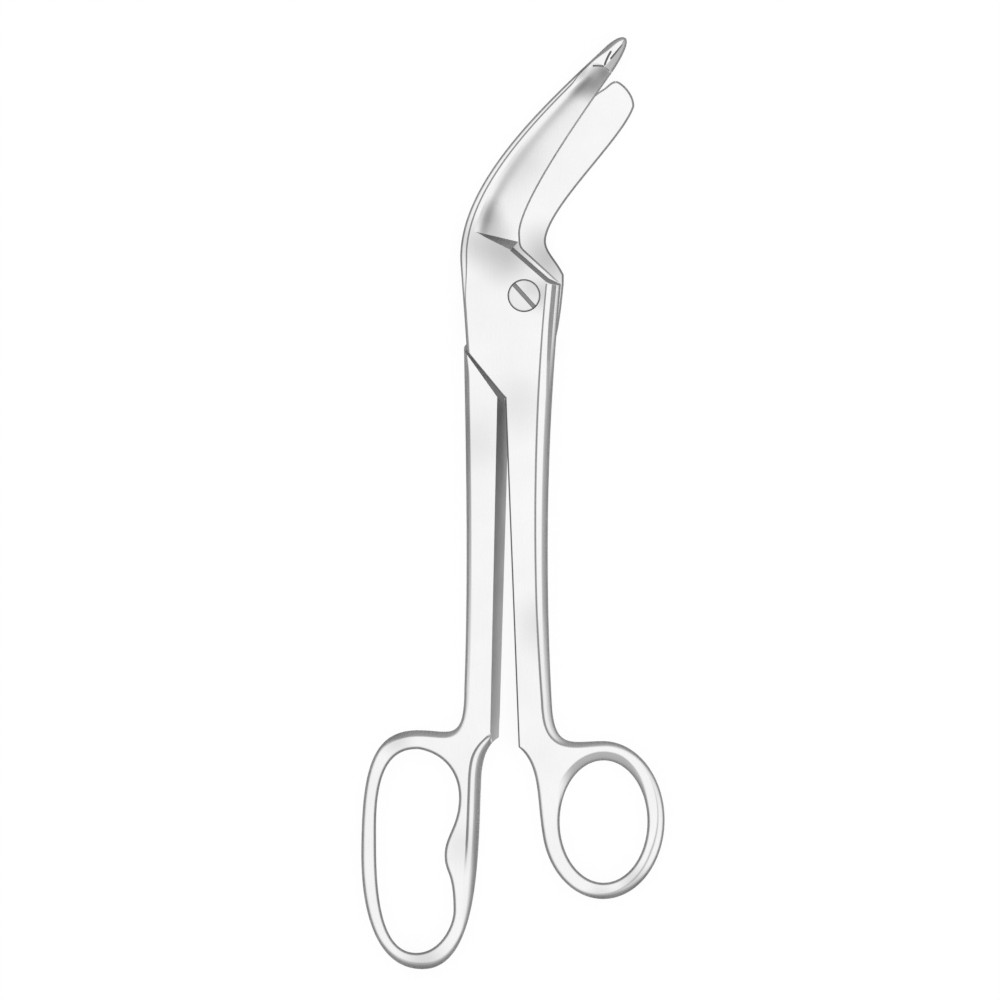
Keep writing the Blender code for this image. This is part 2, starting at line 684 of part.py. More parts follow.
def rear_outline():
    """Outline of the rear half, closed, from the bottom of its bow round the blade."""
    left, right, bottom, top = finger_bow_box()
    low = Vector((left + FINGER_BOW_LOW_SIDE, bottom))
    neck_low = Vector((right, top - FINGER_BOW_NECK_DROP))
    shank_end_x = parting_x(-REAR_SHANK_REACH) - PARTING_CLEARANCE / 2 + parting_run(-REAR_SHANK_REACH)
    shank_end = Vector((shank_end_x, -REAR_SHANK_REACH))
    lap_end_x = parting_x(-THINNING_START) - PARTING_CLEARANCE / 2 + parting_run(-THINNING_START)
    shoulder_start = flat_at(REAR_SHOULDER_FLAT, REAR_SHOULDER_BEARING, lap_end_x)
    shoulder_heading = REAR_SHOULDER_BEARING + 90.0
    heel_heading = REAR_HEEL_BEARING + 90.0
    lap_low = flat_at(REAR_SHOULDER_FLAT, REAR_SHOULDER_BEARING, REAR_LAP_FOOT)
    lap_side = Vector((REAR_LAP_RIGHT, REAR_LAP_SIDE_RISE))
    notch_foot = Vector((REAR_LAP_RIGHT, REAR_NOTCH_FOOT))
    notch = Vector((REAR_NOTCH_SIDE, REAR_NOTCH_RISE))
    heel = flat_at(REAR_HEEL_FLAT, REAR_HEEL_BEARING, -REAR_HEEL_SIDE)
    lap_high = flat_at(REAR_HEEL_FLAT, REAR_HEEL_BEARING, -REAR_LAP_LEFT)
    lap_corner = rounded(lap_high, heel_heading, -90.0, LAP_CORNER_RADIUS)
    lap_low_left = Vector((-REAR_LAP_LEFT, -REAR_SHANK_SHOULDER))
    neck_y = -REAR_SHANK_REACH + REAR_NECK_RISE
    neck = Vector((parting_x(neck_y) - REAR_NECK_WIDTH, neck_y))
    bow_top = Vector((left + FINGER_BOW_TOP_SIDE, top))
    bow_left = Vector((left, top - FINGER_BOW_WIDEST_DROP))
    spine = rear_spine()
    keen = rear_keen()[::-1]
    tip = tip_point(REAR_TIP_SETBACK, REAR_TIP_OFFSET)
    low_corner = rounded(lap_low, shoulder_heading, 73.0, LAP_CORNER_RADIUS)
    stretches = [
        Stretch(curve(low, 0.0, 0.297, neck_low, 87.7, 0.359), BOW_EDGE, FINGER_NECK_EDGE, False),
        Stretch(curve(neck_low, 88.0, 0.235, shank_end, 30.5, 0.39)[:-1], FINGER_NECK_EDGE,
                FINGER_CORNER_EDGE, False),
        Stretch(straight(shank_end, shoulder_start), parting_edge(shank_end.y),
                parting_edge(shoulder_start.y), True),
        Stretch(low_corner, KEEN_EDGE, KEEN_EDGE, True),
        Stretch(curve(low_corner[-1], 73.0, 0.35, lap_side, 84.0, 0.33)[1:], SPINE_EDGE, SPINE_EDGE,
                False),
        Stretch(curve(notch_foot, 114.9, 0.45, notch, 88.0, 0.3), SPINE_EDGE, SPINE_EDGE, False),
        Stretch(spine, SPINE_EDGE, SPINE_EDGE, False),
        Stretch(curve(spine[-1], 90.0, 0.44, tip, 180.0, 0.14), SPINE_EDGE, SPINE_EDGE, False),
        Stretch(curve(tip, 180.0, 0.33, keen[0], 218.6, 0.33), SPINE_EDGE, KEEN_EDGE, False),
        Stretch(keen, KEEN_EDGE, KEEN_EDGE, True),
        Stretch(rounded(heel, 246.0, heel_heading, HEEL_RADIUS), KEEN_EDGE, KEEN_EDGE, True),
        Stretch(lap_corner, KEEN_EDGE, KEEN_EDGE, True),
        Stretch(straight(lap_corner[-1], lap_low_left)[1:], LAP_BAND_EDGE, SHANK_BAND_EDGE, True),
        Stretch(curve(lap_low_left, -89.5, 0.33, neck, -91.5, 0.33), SHANK_BAND_EDGE, NECK_BAND_EDGE,
                True),
        Stretch(curve(neck, -90.0, 0.896, bow_top, 180.0, 0.516), NECK_BAND_EDGE, BOW_EDGE, False),
        Stretch(curve(bow_top, 180.0, 0.337, bow_left, -90.0, 0.63), BOW_EDGE, BOW_EDGE, False),
        Stretch(curve(bow_left, -90.0, 0.393, low, 0.0, 0.376), BOW_EDGE, BOW_EDGE, False),
    ]
    return dress(stretches)


def rear_opening():
    """The hole of the finger bow, with the rest that juts in between two fingers."""
    left, right, bottom, top = finger_bow_box()
    high = Vector((left + FINGER_HOLE_TOP_SIDE, top - FINGER_RIM_TOP))
    upper = Vector((right - FINGER_RIM_NECK, top - FINGER_HOLE_NECK_DROP))
    rest = Vector((right - FINGER_RIM_NECK - FINGER_REST_HEIGHT, top - FINGER_REST_DROP))
    lower = Vector((right - FINGER_RIM_LOWER, bottom + FINGER_HOLE_LOWER_RISE))
    low = Vector((left + FINGER_HOLE_LOW_SIDE, bottom + FINGER_RIM_BOTTOM))
    side = Vector((left + FINGER_RIM_LEFT, top - FINGER_HOLE_SIDE_DROP))
    stretches = [
        Stretch(curve(high, -10.0, 0.364, upper, -90.0, 0.437), BORE_TOP_EDGE, BORE_EDGE, False),
        Stretch(curve(upper, -90.0, 0.478, rest, -90.0, 0.325), BORE_EDGE, BORE_EDGE, False),
        Stretch(curve(rest, -90.0, 0.341, lower, -90.0, 0.715), BORE_EDGE, BORE_EDGE, False),
        Stretch(curve(lower, -90.0, 0.267, low, 180.0, 0.426), BORE_EDGE, BORE_EDGE, False),
        Stretch(curve(low, 180.0, 0.318, side, 90.0, 0.33), BORE_EDGE, BORE_EDGE, False),
        Stretch(curve(side, 90.0, 0.62, high, -3.0, 0.33), BORE_EDGE, BORE_TOP_EDGE, False),
    ]
    return dress(stretches)


def make_front_half(material):
    """Front half: probe-pointed blade, counterbored lap and thumb ring."""
    body = forged_blank("front_half", front_outline(), front_opening())
    reach = rear_tip_reach() + TIP_CLEARANCE
    cut(body, lap_recess("front_recess", REAR_SHOULDER_FLAT, REAR_SHOULDER_BEARING, reach))
    land = land_line(front_spine(), -1, PROBE_LENGTH)
    corner = flat_at(FRONT_HEEL_FLAT - LEDGE_SETBACK, FRONT_HEEL_BEARING, FRONT_STEP_SIDE)
    keen_step = corner + (corner - land[0]).normalized() * CUTTER_MARGIN * 2
    keen = [keen_step + toward(62.0) * STEP_RUN] + offset(front_keen()[1:], -CUTTER_MARGIN)
    cut(body, hollow_grind("front_hollow", land, keen, land[0] + toward(-90.0) * LAP_GAP, keen_step))
    lap_corner = flat_at(FRONT_HEEL_FLAT, FRONT_HEEL_BEARING, FRONT_LAP_RIGHT)
    cut(body, heel_ledge("front_ledge", FRONT_HEEL_FLAT, FRONT_HEEL_BEARING, corner, lap_corner))
    cut(body, probe_facet("probe_facet"))
    bore = SCREW_JOURNAL_RADIUS + SCREW_CLEARANCE
    cut(body, round_cutter("front_bore", bore, -LAP_HALF_THICKNESS, 2 * LAP_HALF_THICKNESS))
    seat = LAP_HALF_THICKNESS - SCREW_HEAD_DEPTH - SCREW_CLEARANCE
    counterbore = SCREW_HEAD_RADIUS + SCREW_CLEARANCE
    cut(body, round_cutter("front_counterbore", counterbore, seat, 2 * LAP_HALF_THICKNESS))
    finish_half(body, False)
    shade(body, material)
    body.rotation_euler.z = radians(REST_OPENING)


def make_rear_half(material):
    """Rear half: round-ended blade, threaded lap and long finger bow."""
    body = forged_blank("rear_half", rear_outline(), rear_opening())
    past_tip = rear_tip_reach() * 1.2
    cut(body, lap_recess("rear_recess", FRONT_SHOULDER_FLAT, FRONT_SHOULDER_BEARING, past_tip))
    land = land_line(rear_spine(), 1, LAND_WIDTH)
    corner = flat_at(REAR_HEEL_FLAT - LEDGE_SETBACK, REAR_HEEL_BEARING, REAR_STEP_SIDE)
    keen_step = corner + (corner - land[0]).normalized() * CUTTER_MARGIN * 2
    keen = [keen_step + toward(100.0) * STEP_RUN] + offset(rear_keen()[1:], CUTTER_MARGIN)
    cut(body, hollow_grind("rear_hollow", land, keen, land[0] + toward(-90.0) * LAP_GAP, keen_step))
    lap_corner = flat_at(REAR_HEEL_FLAT, REAR_HEEL_BEARING, -REAR_LAP_LEFT)
    cut(body, heel_ledge("rear_ledge", REAR_HEEL_FLAT, REAR_HEEL_BEARING, corner, lap_corner))
    hole = SCREW_THREAD_RADIUS + SCREW_CLEARANCE
    cut(body, round_cutter("rear_hole", hole, -2 * LAP_HALF_THICKNESS, 2 * LAP_HALF_THICKNESS))
    finish_half(body, True)
    shade(body, material)


def make_pivot_screw(material):
    """Shouldered screw: the journal turns in the front half and the thread holds in the rear half."""
    top = 2 * LAP_HALF_THICKNESS
    lap_face = LAP_HALF_THICKNESS + LAP_GAP / 2
    under_head = top - SCREW_HEAD_DEPTH
    section = [
        (0.0, 0.0),
        (SCREW_THREAD_RADIUS - SCREW_EDGE, 0.0),
        (SCREW_THREAD_RADIUS, SCREW_EDGE),
        (SCREW_THREAD_RADIUS, lap_face),
        (SCREW_JOURNAL_RADIUS, lap_face),
        (SCREW_JOURNAL_RADIUS, under_head),
        (SCREW_HEAD_RADIUS, under_head),
        (SCREW_HEAD_RADIUS, top - SCREW_EDGE),
        (SCREW_HEAD_RADIUS - SCREW_EDGE, top),
        (0.0, top),
    ]
    bm = bmesh.new()
    points = [bm.verts.new((radius, 0, height)) for radius, height in section]
    edges = [bm.edges.new(pair) for pair in zip(points, points[1:])]
    bmesh.ops.spin(bm, geom=points + edges, cent=(0, 0, 0), axis=(0, 0, 1), angle=2 * pi,
                   steps=SCREW_SEGMENTS, use_merge=True)
    bmesh.ops.remove_doubles(bm, verts=bm.verts, dist=1e-6)
    body = new_object("pivot_screw", bm)
    along = toward(SLOT_BEARING) * SCREW_HEAD_RADIUS * 1.5
    across = toward(SLOT_BEARING + 90.0) * SLOT_WIDTH / 2
    corners = [-along - across, along - across, along + across, -along + across]
    cut(body, slab("slot", corners, top - SLOT_DEPTH, top + CUTTER_MARGIN))
    shade(body, material)


for old in list(bpy.data.objects):
    bpy.data.objects.remove(old)
make_front_half(steel("front_steel", (0.82, 0.83, 0.84), 0.28))
make_rear_half(steel("rear_steel", (0.80, 0.81, 0.82), 0.28))
make_pivot_screw(steel("screw_steel", (0.74, 0.75, 0.77), 0.33))
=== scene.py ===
from collections import namedtuple
from math import acos, atan2, cos, degrees, hypot, inf, pi, radians, sin, tan

import bmesh
import bpy
from mathutils import Matrix, Vector
from mathutils.geometry import interpolate_bezier


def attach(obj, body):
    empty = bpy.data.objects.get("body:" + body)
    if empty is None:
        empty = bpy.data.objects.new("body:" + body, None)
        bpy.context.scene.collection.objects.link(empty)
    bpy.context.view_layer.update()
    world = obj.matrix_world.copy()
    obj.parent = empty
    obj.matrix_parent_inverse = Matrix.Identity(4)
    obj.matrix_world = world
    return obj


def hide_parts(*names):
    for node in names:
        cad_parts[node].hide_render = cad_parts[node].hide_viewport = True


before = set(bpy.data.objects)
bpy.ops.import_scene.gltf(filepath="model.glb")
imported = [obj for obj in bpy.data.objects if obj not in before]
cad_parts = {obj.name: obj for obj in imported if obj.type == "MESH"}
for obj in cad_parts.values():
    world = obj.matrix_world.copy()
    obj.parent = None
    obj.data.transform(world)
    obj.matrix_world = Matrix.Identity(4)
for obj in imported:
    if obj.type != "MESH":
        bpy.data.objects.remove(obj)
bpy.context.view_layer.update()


# View. The scissors lie on a table and are seen from straight above, the blades pointing up. A flat view
# without perspective keeps the walls of the halves out of sight, as a long lens does.
camera_data = bpy.data.cameras.new("overhead_camera")
camera_data.type = "ORTHO"
camera_data.ortho_scale = 0.258
camera = bpy.data.objects.new("overhead_camera", camera_data)
camera.location = (-0.006192, -0.052735, 0.6)
bpy.context.scene.collection.objects.link(camera)
bpy.context.scene.camera = camera
bpy.context.scene.view_settings.view_transform = "Standard"


# Light. A pale studio with its light overhead, which falls off towards the walls, so that flats shine
# and rounded edges turn grey.
studio = bpy.data.worlds.new("studio")
studio.use_nodes = True
bpy.context.scene.world = studio
nodes = studio.node_tree.nodes
links = studio.node_tree.links
direction = nodes.new("ShaderNodeTexCoord")
height = nodes.new("ShaderNodeSeparateXYZ")
falloff = nodes.new("ShaderNodeValToRGB")
links.new(direction.outputs["Generated"], height.inputs[0])
links.new(height.outputs["Z"], falloff.inputs["Fac"])
links.new(falloff.outputs["Color"], nodes["Background"].inputs["Color"])
levels = [(0.0, 0.14), (0.20, 0.19), (0.45, 0.42), (0.67, 0.78), (0.84, 1.02), (1.0, 1.09)]
while len(falloff.color_ramp.elements) < len(levels):
    falloff.color_ramp.elements.new(0.5)
for element, (place, level) in zip(falloff.color_ramp.elements, levels):
    element.position = place
    element.color = (level, level, level, 1.0)


# Table. A white board that glows back evenly, so that it reads as a white page, and keeps a soft shadow
# under the scissors.
bm = bmesh.new()
bmesh.ops.create_circle(bm, cap_ends=True, segments=64, radius=6.0)
table_mesh = bpy.data.meshes.new("table")
bm.to_mesh(table_mesh)
bm.free()
table = bpy.data.objects.new("table", table_mesh)
bpy.context.scene.collection.objects.link(table)
white = bpy.data.materials.new("white_table")
white.use_nodes = True
nodes = white.node_tree.nodes
links = white.node_tree.links
nodes.remove(nodes["Principled BSDF"])
paint = nodes.new("ShaderNodeBsdfDiffuse")
paint.inputs["Color"].default_value = (1.0, 1.0, 1.0, 1.0)
glow = nodes.new("ShaderNodeEmission")
glow.inputs["Strength"].default_value = 1.07
rays = nodes.new("ShaderNodeLightPath")
seen = nodes.new("ShaderNodeMath")
seen.operation = "MAXIMUM"
links.new(rays.outputs["Is Camera Ray"], seen.inputs[0])
links.new(rays.outputs["Is Glossy Ray"], seen.inputs[1])
through = nodes.new("ShaderNodeMath")
through.operation = "MAXIMUM"
links.new(seen.outputs[0], through.inputs[0])
links.new(rays.outputs["Is Transmission Ray"], through.inputs[1])
share = nodes.new("ShaderNodeMath")
share.operation = "MULTIPLY"
share.inputs[1].default_value = 0.8
links.new(through.outputs[0], share.inputs[0])
board = nodes.new("ShaderNodeMixShader")
links.new(share.outputs[0], board.inputs["Fac"])
links.new(paint.outputs[0], board.inputs[1])
links.new(glow.outputs[0], board.inputs[2])
links.new(board.outputs[0], nodes["Material Output"].inputs["Surface"])
table.data.materials.append(white)


# Rear half. One forging of stainless steel with a round-ended blade, the threaded side of the lap, a shank
# and a long finger bow. It lies with its flat inside face up. The edges are ground and the faces satin
# polished, and the recesses and the parting wall take a duller steel whose darker colour is painted shade.
LAP = 4.0              # half thickness at the lap, in millimetres, as are all lengths of the two halves
LAP_FACE = 0.15        # each lap face stands this far from the middle plane
KEEN_FLAT = 0.6
RUNS = 11              # slopes down each side of a dressed edge
CLOSEST = 0.05         # points of an outline that lie closer are one point
BLADE_HEADING = 46.5
FRONT_TIP = Vector((25.4, 63.2))
BLADE_THINS = (18.0, 50.1, 0.375)                           # from this reach, over this length, by this share
SHANK_THINS = ((-28.0, 4.0), (-111.2, 3.1), (-126.3, 2.8))  # places down the shank, and half thickness there
# Flats that bound the laps, each by its distance from the pivot and its bearing
REAR_HEEL = (12.6, 141.7)
FRONT_HEEL = (8.7, 43.8)
REAR_LOW_FLAT = (15.0, -41.2)
FRONT_LOW_FLAT = (20.5, 216.0)
# Finishes of the faces. The dull steel is rougher, and its darker colour is painted shade in recesses, gaps and
# fine lines.
POLISHED, GROUND, SHADED_DULL = range(3)
Edge = namedtuple("Edge", "inside middle outside")
Stretch = namedtuple("Stretch", "points begin end keep finish")


def satin_steel(name, colour, roughness, cloud, grain, lines, painted_shades=()):
    """Stainless steel with a cloudy tone, fine lines from the polishing wheel and patches of painted shade.

    Each patch of painted shade darkens the colour round a place: its place in plan, its radius, and how much
    darker it is.
    """
    material = bpy.data.materials.new(name)
    material.use_nodes = True
    nodes = material.node_tree.nodes
    links = material.node_tree.links
    shader = nodes["Principled BSDF"]
    shader.inputs["Metallic"].default_value = 1.0
    place = nodes.new("ShaderNodeTexCoord")
    clouds = nodes.new("ShaderNodeTexNoise")
    clouds.inputs["Scale"].default_value = 60.0
    clouds.inputs["Detail"].default_value = 4.0
    links.new(place.outputs["Object"], clouds.inputs["Vector"])
    tone = nodes.new("ShaderNodeMapRange")
    tone.inputs["From Min"].default_value = 0.3
    tone.inputs["From Max"].default_value = 0.7
    tone.inputs["To Min"].default_value = colour * (1 - cloud)
    tone.inputs["To Max"].default_value = colour
    links.new(clouds.outputs["Fac"], tone.inputs["Value"])
    shaded = tone.outputs["Result"]
    # Painted shade: the colour darkens smoothly towards the middle of each patch
    for x, y, radius, strength in painted_shades:
        away = nodes.new("ShaderNodeVectorMath")
        away.operation = "DISTANCE"
        away.inputs[1].default_value = (x / 1000, y / 1000, 0.006)
        links.new(place.outputs["Object"], away.inputs[0])
        shade_patch = nodes.new("ShaderNodeMapRange")
        shade_patch.interpolation_type = "SMOOTHSTEP"
        shade_patch.inputs["From Max"].default_value = radius / 1000
        shade_patch.inputs["To Min"].default_value = 1 - strength
        shade_patch.inputs["To Max"].default_value = 1.0
        links.new(away.outputs["Value"], shade_patch.inputs["Value"])
        darker = nodes.new("ShaderNodeMath")
        darker.operation = "MULTIPLY"
        links.new(shaded, darker.inputs[0])
        links.new(shade_patch.outputs["Result"], darker.inputs[1])
        shaded = darker.outputs[0]
    links.new(shaded, shader.inputs["Base Color"])
    along = nodes.new("ShaderNodeMapping")
    along.inputs["Rotation"].default_value = (0.0, 0.0, radians(lines))
    along.inputs["Scale"].default_value = (6000.0, 200.0, 200.0)
    links.new(place.outputs["Object"], along.inputs["Vector"])
    streaks = nodes.new("ShaderNodeTexNoise")
    streaks.inputs["Scale"].default_value = 1.0
    streaks.inputs["Detail"].default_value = 2.0
    links.new(along.outputs["Vector"], streaks.inputs["Vector"])
    sheen = nodes.new("ShaderNodeMapRange")
    sheen.inputs["From Min"].default_value = 0.3
    sheen.inputs["From Max"].default_value = 0.7
    sheen.inputs["To Min"].default_value = roughness - 0.03
    sheen.inputs["To Max"].default_value = roughness + 0.04
    links.new(streaks.outputs["Fac"], sheen.inputs["Value"])
    links.new(sheen.outputs["Result"], shader.inputs["Roughness"])
    relief = nodes.new("ShaderNodeBump")
    relief.inputs["Strength"].default_value = grain
    relief.inputs["Distance"].default_value = 0.00002
    links.new(streaks.outputs["Fac"], relief.inputs["Height"])
    links.new(relief.outputs["Normal"], shader.inputs["Normal"])
    return material


def toward(heading):
    """Unit vector in plan, with the heading in degrees from +X."""
    return Vector((cos(radians(heading)), sin(radians(heading))))


def curve(start, leave, leave_pull, end, arrive, arrive_pull):
    """Smooth line from start to end: headings in degrees, pulls as shares of the chord."""
    start = Vector(start)
    end = Vector(end)
    chord = (end - start).length
    first = start + toward(leave) * leave_pull * chord
    second = end - toward(arrive) * arrive_pull * chord
    steps = max(12, round(chord / 0.5))
    return [Vector(p[:2]) for p in interpolate_bezier(start, first, second, end, steps + 1)]


def rounded(corner, arrive, leave, radius):
    """Arc that rounds off the corner between two straight headings."""
    turn = abs((leave - arrive + 180.0) % 360.0 - 180.0)
    reach = radius * tan(radians(turn / 2))
    pull = radius * tan(radians(turn / 4)) * 4 / 3
    start = corner - toward(arrive) * reach
    end = corner + toward(leave) * reach
    handles = (start + toward(arrive) * pull, end - toward(leave) * pull)
    return [Vector(p[:2]) for p in interpolate_bezier(start, *handles, end, 9)]


def straight(start, end):
    steps = max(1, round((end - start).length))
    return [start.lerp(end, i / steps) for i in range(steps + 1)]


def flat_at(distance, bearing, x):
    """Point at x on the flat that lies at a distance from the pivot along a bearing."""
    return Vector((x, (distance - x * cos(radians(bearing))) / sin(radians(bearing))))


def beside(points, distance):
    """The line moved to its left by a distance."""
    moved = []
    for i, point in enumerate(points):
        along = (points[min(i + 1, len(points) - 1)] - points[max(i - 1, 0)]).normalized()
        moved.append(point + Vector((-along.y, along.x)) * distance)
    return moved


def evenly(points, count):
    """The same line with its points evenly spaced."""
    lengths = [0.0]
    for before, after in zip(points, points[1:]):
        lengths.append(lengths[-1] + (after - before).length)
    even = []
    for i in range(count):
        want = lengths[-1] * i / (count - 1)
        k = max(j for j in range(len(points) - 1) if lengths[j] <= want + 1e-9)
        share = (want - lengths[k]) / (lengths[k + 1] - lengths[k])
        even.append(points[k].lerp(points[k + 1], min(share, 1.0)))
    return even


def between(points, low, high, axis=1):
    """The points of a line whose y, or with axis 0 their x, lies between two values."""
    return [p for p in points if low <= p[axis] < high]


def from_start(points, near, far):
    """The points of a line that lie between two distances from its start."""
    return [p for p in points if near <= (p - points[0]).length < far]


def half_thickness(y):
    """The forgings thin from the lap to the bows."""
    for (high, thick), (low, thin) in zip(SHANK_THINS, SHANK_THINS[1:]):
        if y >= low:
            return thick + (thin - thick) * max(0.0, high - y) / (high - low)
    return SHANK_THINS[-1][1]


def thinning(x, y):
    """Thickness at a place, as a share of the thickness at the lap."""
    reach = hypot(x, y)
    begin, length, share = BLADE_THINS
    if y > 0 and reach > begin:
        return 1 - share * min(1.0, (reach - begin) / length)
    return half_thickness(y) / LAP


def parting_x(y):
    """Where the two shanks part, at their visible edge."""
    return -6.14 + y * tan(radians(1.216))


def parting_run(y):
    """How far the slanted parting wall reaches sideways through the thickness."""
    return 2 * half_thickness(y) * tan(radians(21.0))


def falling(runs, belly=0.0):
    """Inset and drop of each row of a dressed edge. The runs lead from the flat out to the wall, each with
    its width and its slope in degrees, or with no width and its drop. The belly is what the wall adds."""
    runs = list(runs)
    while len(runs) < RUNS:
        k = max(range(len(runs)), key=lambda i: runs[i][0] or runs[i][1] / 9)
        width, slope = runs[k]
        half = (width / 2, slope) if width else (0.0, slope / 2)
        runs[k:k + 1] = [half, half]
    inset = sum(width for width, slope in runs) + belly
    depth = 0.0
    rows = [(inset, depth)]
    for width, slope in runs:
        inset -= width
        depth += width * tan(radians(slope)) if width else slope
        rows.append((inset, depth))
    return rows


def blend(first, second, share):
    def mix(a, b):
        return a + (b - a) * share
    inside = [(mix(a, c), mix(b, d)) for (a, b), (c, d) in zip(first.inside, second.inside)]
    outside = [(mix(a, c), mix(b, d)) for (a, b), (c, d) in zip(first.outside, second.outside)]
    return Edge(inside, mix(first.middle, second.middle), outside)


CRISP = [(0.04, 16), (0.05, 28), (0.11, 36), (0.16, 40), (0.16, 41), (0.14, 41)]
CORNER = [(0.04, 16), (0.06, 34), (0.08, 40), (0.10, 41)]
AT_LAP_FACE = [(0.0, 1.5), (0.0, 1.5), (0.0, LAP + LAP_FACE - 3.0), (0.02, 12), (0.04, 24), (0.06, 33),
               (0.08, 38), (0.10, 39), (0.10, 40), (0.10, 41), (0.08, 41)]
AT_KEEN = [(0.0, 1.5), (0.0, 1.5), (0.0, LAP + LAP_FACE - 3.0), (0.02, 12), (0.03, 24), (0.05, 33),
           (0.06, 38), (0.08, 39), (0.08, 40), (0.08, 41), (0.06, 41)]
SPINE = [(0.08, 28), (0.15, 39), (0.15, 39), (0.07, 22), (0.10, 9), (0.12, 9), (0.08, 26), (0.22, 39),
         (0.24, 41)]
BROAD_SPINE = [(0.08, 28), (0.15, 39), (0.15, 39), (0.07, 22), (0.42, 7), (0.42, 7), (0.08, 24), (0.20, 39),
               (0.26, 41)]
BAND = [(0.08, 28), (0.22, 38), (0.22, 39), (0.08, 20), (1.02, 5), (0.15, 22), (0.30, 29), (0.40, 32),
        (0.30, 34), (0.25, 38), (0.28, 41)]
NARROW_BAND = [(0.08, 28), (0.24, 39), (0.22, 40), (0.10, 28), (0.25, 18), (0.35, 11), (0.35, 18), (0.40, 25),
               (0.30, 27), (0.20, 37), (0.32, 41)]
WIDE_BAND = [(0.08, 28), (0.24, 38), (0.22, 39), (0.08, 20), (1.48, 4), (0.15, 22), (0.35, 30), (0.45, 33),
             (0.30, 36), (0.25, 39), (0.30, 41)]
SHANK_SIDE = [(0.12, 18), (0.18, 30), (0.42, 37), (0.40, 40), (0.28, 41)]
SOFT_SIDE = [(0.40, 17), (0.45, 23), (0.15, 30), (0.25, 39), (0.25, 41)]
ROUND_RIM = [(0.25, 8), (0.20, 16), (0.16, 25), (0.12, 33), (0.18, 39), (0.20, 41), (0.12, 42)]
LOW_RIM = [(0.25, 14), (0.55, 28), (0.50, 34), (0.20, 38), (0.25, 40), (0.20, 42)]
RIDGED_RIM = [(0.16, 14), (0.30, 30), (0.26, 30), (0.95, 5), (0.25, 13), (0.15, 30), (0.22, 39), (0.24, 42)]
HOLE_RIM = [(0.20, 10), (0.15, 21), (0.12, 32), (0.18, 39), (0.18, 41), (0.12, 42)]
HOLE_TOP = [(0.20, 18), (0.88, 29), (0.88, 30), (0.15, 36), (0.20, 40), (0.18, 42)]
FADED_TOP = [(0.20, 4), (0.88, 9), (0.88, 15), (0.15, 32), (0.20, 40), (0.18, 42)]
DARK_TOP = [(0.20, 18), (0.25, 31), (0.45, 36), (0.45, 37), (0.25, 39), (0.25, 41)]
SHOULDERED = [(0.10, 30), (0.30, 40), (0.28, 38), (0.14, 22), (0.75, 5), (0.25, 22), (0.60, 33), (0.50, 37),
              (0.50, 41)]
FADED = [(0.10, 4), (0.30, 8), (0.28, 8), (0.14, 7), (0.75, 6), (0.25, 14), (0.60, 24), (0.50, 35),
         (0.50, 40)]
KEEN_BEVEL = [(0.30, 45), (0.0, 2.95)]


def rim(runs, belly=0.0):
    """Edge with the same slopes on the inside and the outside of a half."""
    return Edge(falling(runs, belly), 0.0, falling(runs, belly))


def blade_rim(runs):
    """Edge whose wall stands on the lap face, along the blade and the lap."""
    return Edge(falling(AT_LAP_FACE), 0.95, falling(runs))


def shank_rim(runs):
    """Edge of the shank's outer side, with a plain bevel on the inside."""
    return Edge(falling(SHANK_SIDE), 0.0, falling(runs))


crisp_edge = rim(CRISP)
corner_edge = rim(CORNER)
spine_edge = blade_rim(SPINE)
broad_spine_edge = blade_rim(BROAD_SPINE)
blade_edge = blade_rim(CRISP)
keen_edge = Edge(falling([(0.0, 4.1)]), LAP_FACE, falling(KEEN_BEVEL, 0.45))
bevelled_keen_edge = Edge(falling(AT_KEEN), 0.68, falling(KEEN_BEVEL, 0.20))
band_edge = shank_rim(BAND)
narrow_band_edge = shank_rim(NARROW_BAND)
wide_band_edge = shank_rim(WIDE_BAND)
soft_band_edge = Edge(falling(SOFT_SIDE), 0.0, falling(BAND))
bow_edge = rim(ROUND_RIM, 0.03)
low_edge = rim(LOW_RIM, 0.03)
ridged_edge = rim(RIDGED_RIM, 0.03)
top_edge = rim(DARK_TOP, 0.03)
hole_edge = rim(HOLE_RIM, 0.03)
hole_top_edge = rim(HOLE_TOP, 0.03)
faded_top_edge = rim(FADED_TOP, 0.03)
finger_neck_edge = Edge(falling(SHOULDERED, 0.03), 0.0, falling(ROUND_RIM, 0.03))
faded_neck_edge = Edge(falling(FADED, 0.03), 0.0, falling(ROUND_RIM, 0.03))
pinched_neck_edge = blend(finger_neck_edge, crisp_edge, 0.6)


def parting_edge(y):
    """The slanted wall, from the outside edge of a half to its inside face."""
    run = parting_run(y)
    thick = half_thickness(y)
    bevel = falling([(0.04, 16), (0.06, 34), (0.14, 40), (0.14, 41)])
    drop = 2 * thick - bevel[-1][1] - 0.04
    steep = [(run, degrees(atan2(drop, run)))]
    return Edge(falling(steep), LAP - (bevel[-1][1] + 0.02) * LAP / thick, bevel)


def stretch(points, begin, end=None, keep=False, finish=POLISHED):
    return Stretch(points, begin, end or begin, keep, finish)


def dress(stretches):
    """Join the stretches of a closed outline into points, each with its own edge and finish."""
    points = []
    edges = []
    kept = []
    finishes = []
    for part in stretches:
        last = len(part.points) - 1
        for i, point in enumerate(part.points):
            if points and (point - points[-1]).length < CLOSEST:
                continue
            points.append(point)
            edges.append(blend(part.begin, part.end, i / last))
            kept.append(part.keep)
            finishes.append(part.finish)
    if (points[0] - points[-1]).length < CLOSEST:
        for line in (points, edges, kept, finishes):
            line.pop()
    for _ in range(8):
        smooth = [blend(edges[i], blend(edges[i - 1], edges[(i + 1) % len(edges)], 0.5), 0.5)
                  for i in range(len(edges))]
        edges = [old if keep else new for old, new, keep in zip(edges, smooth, kept)]
    return points, edges, finishes


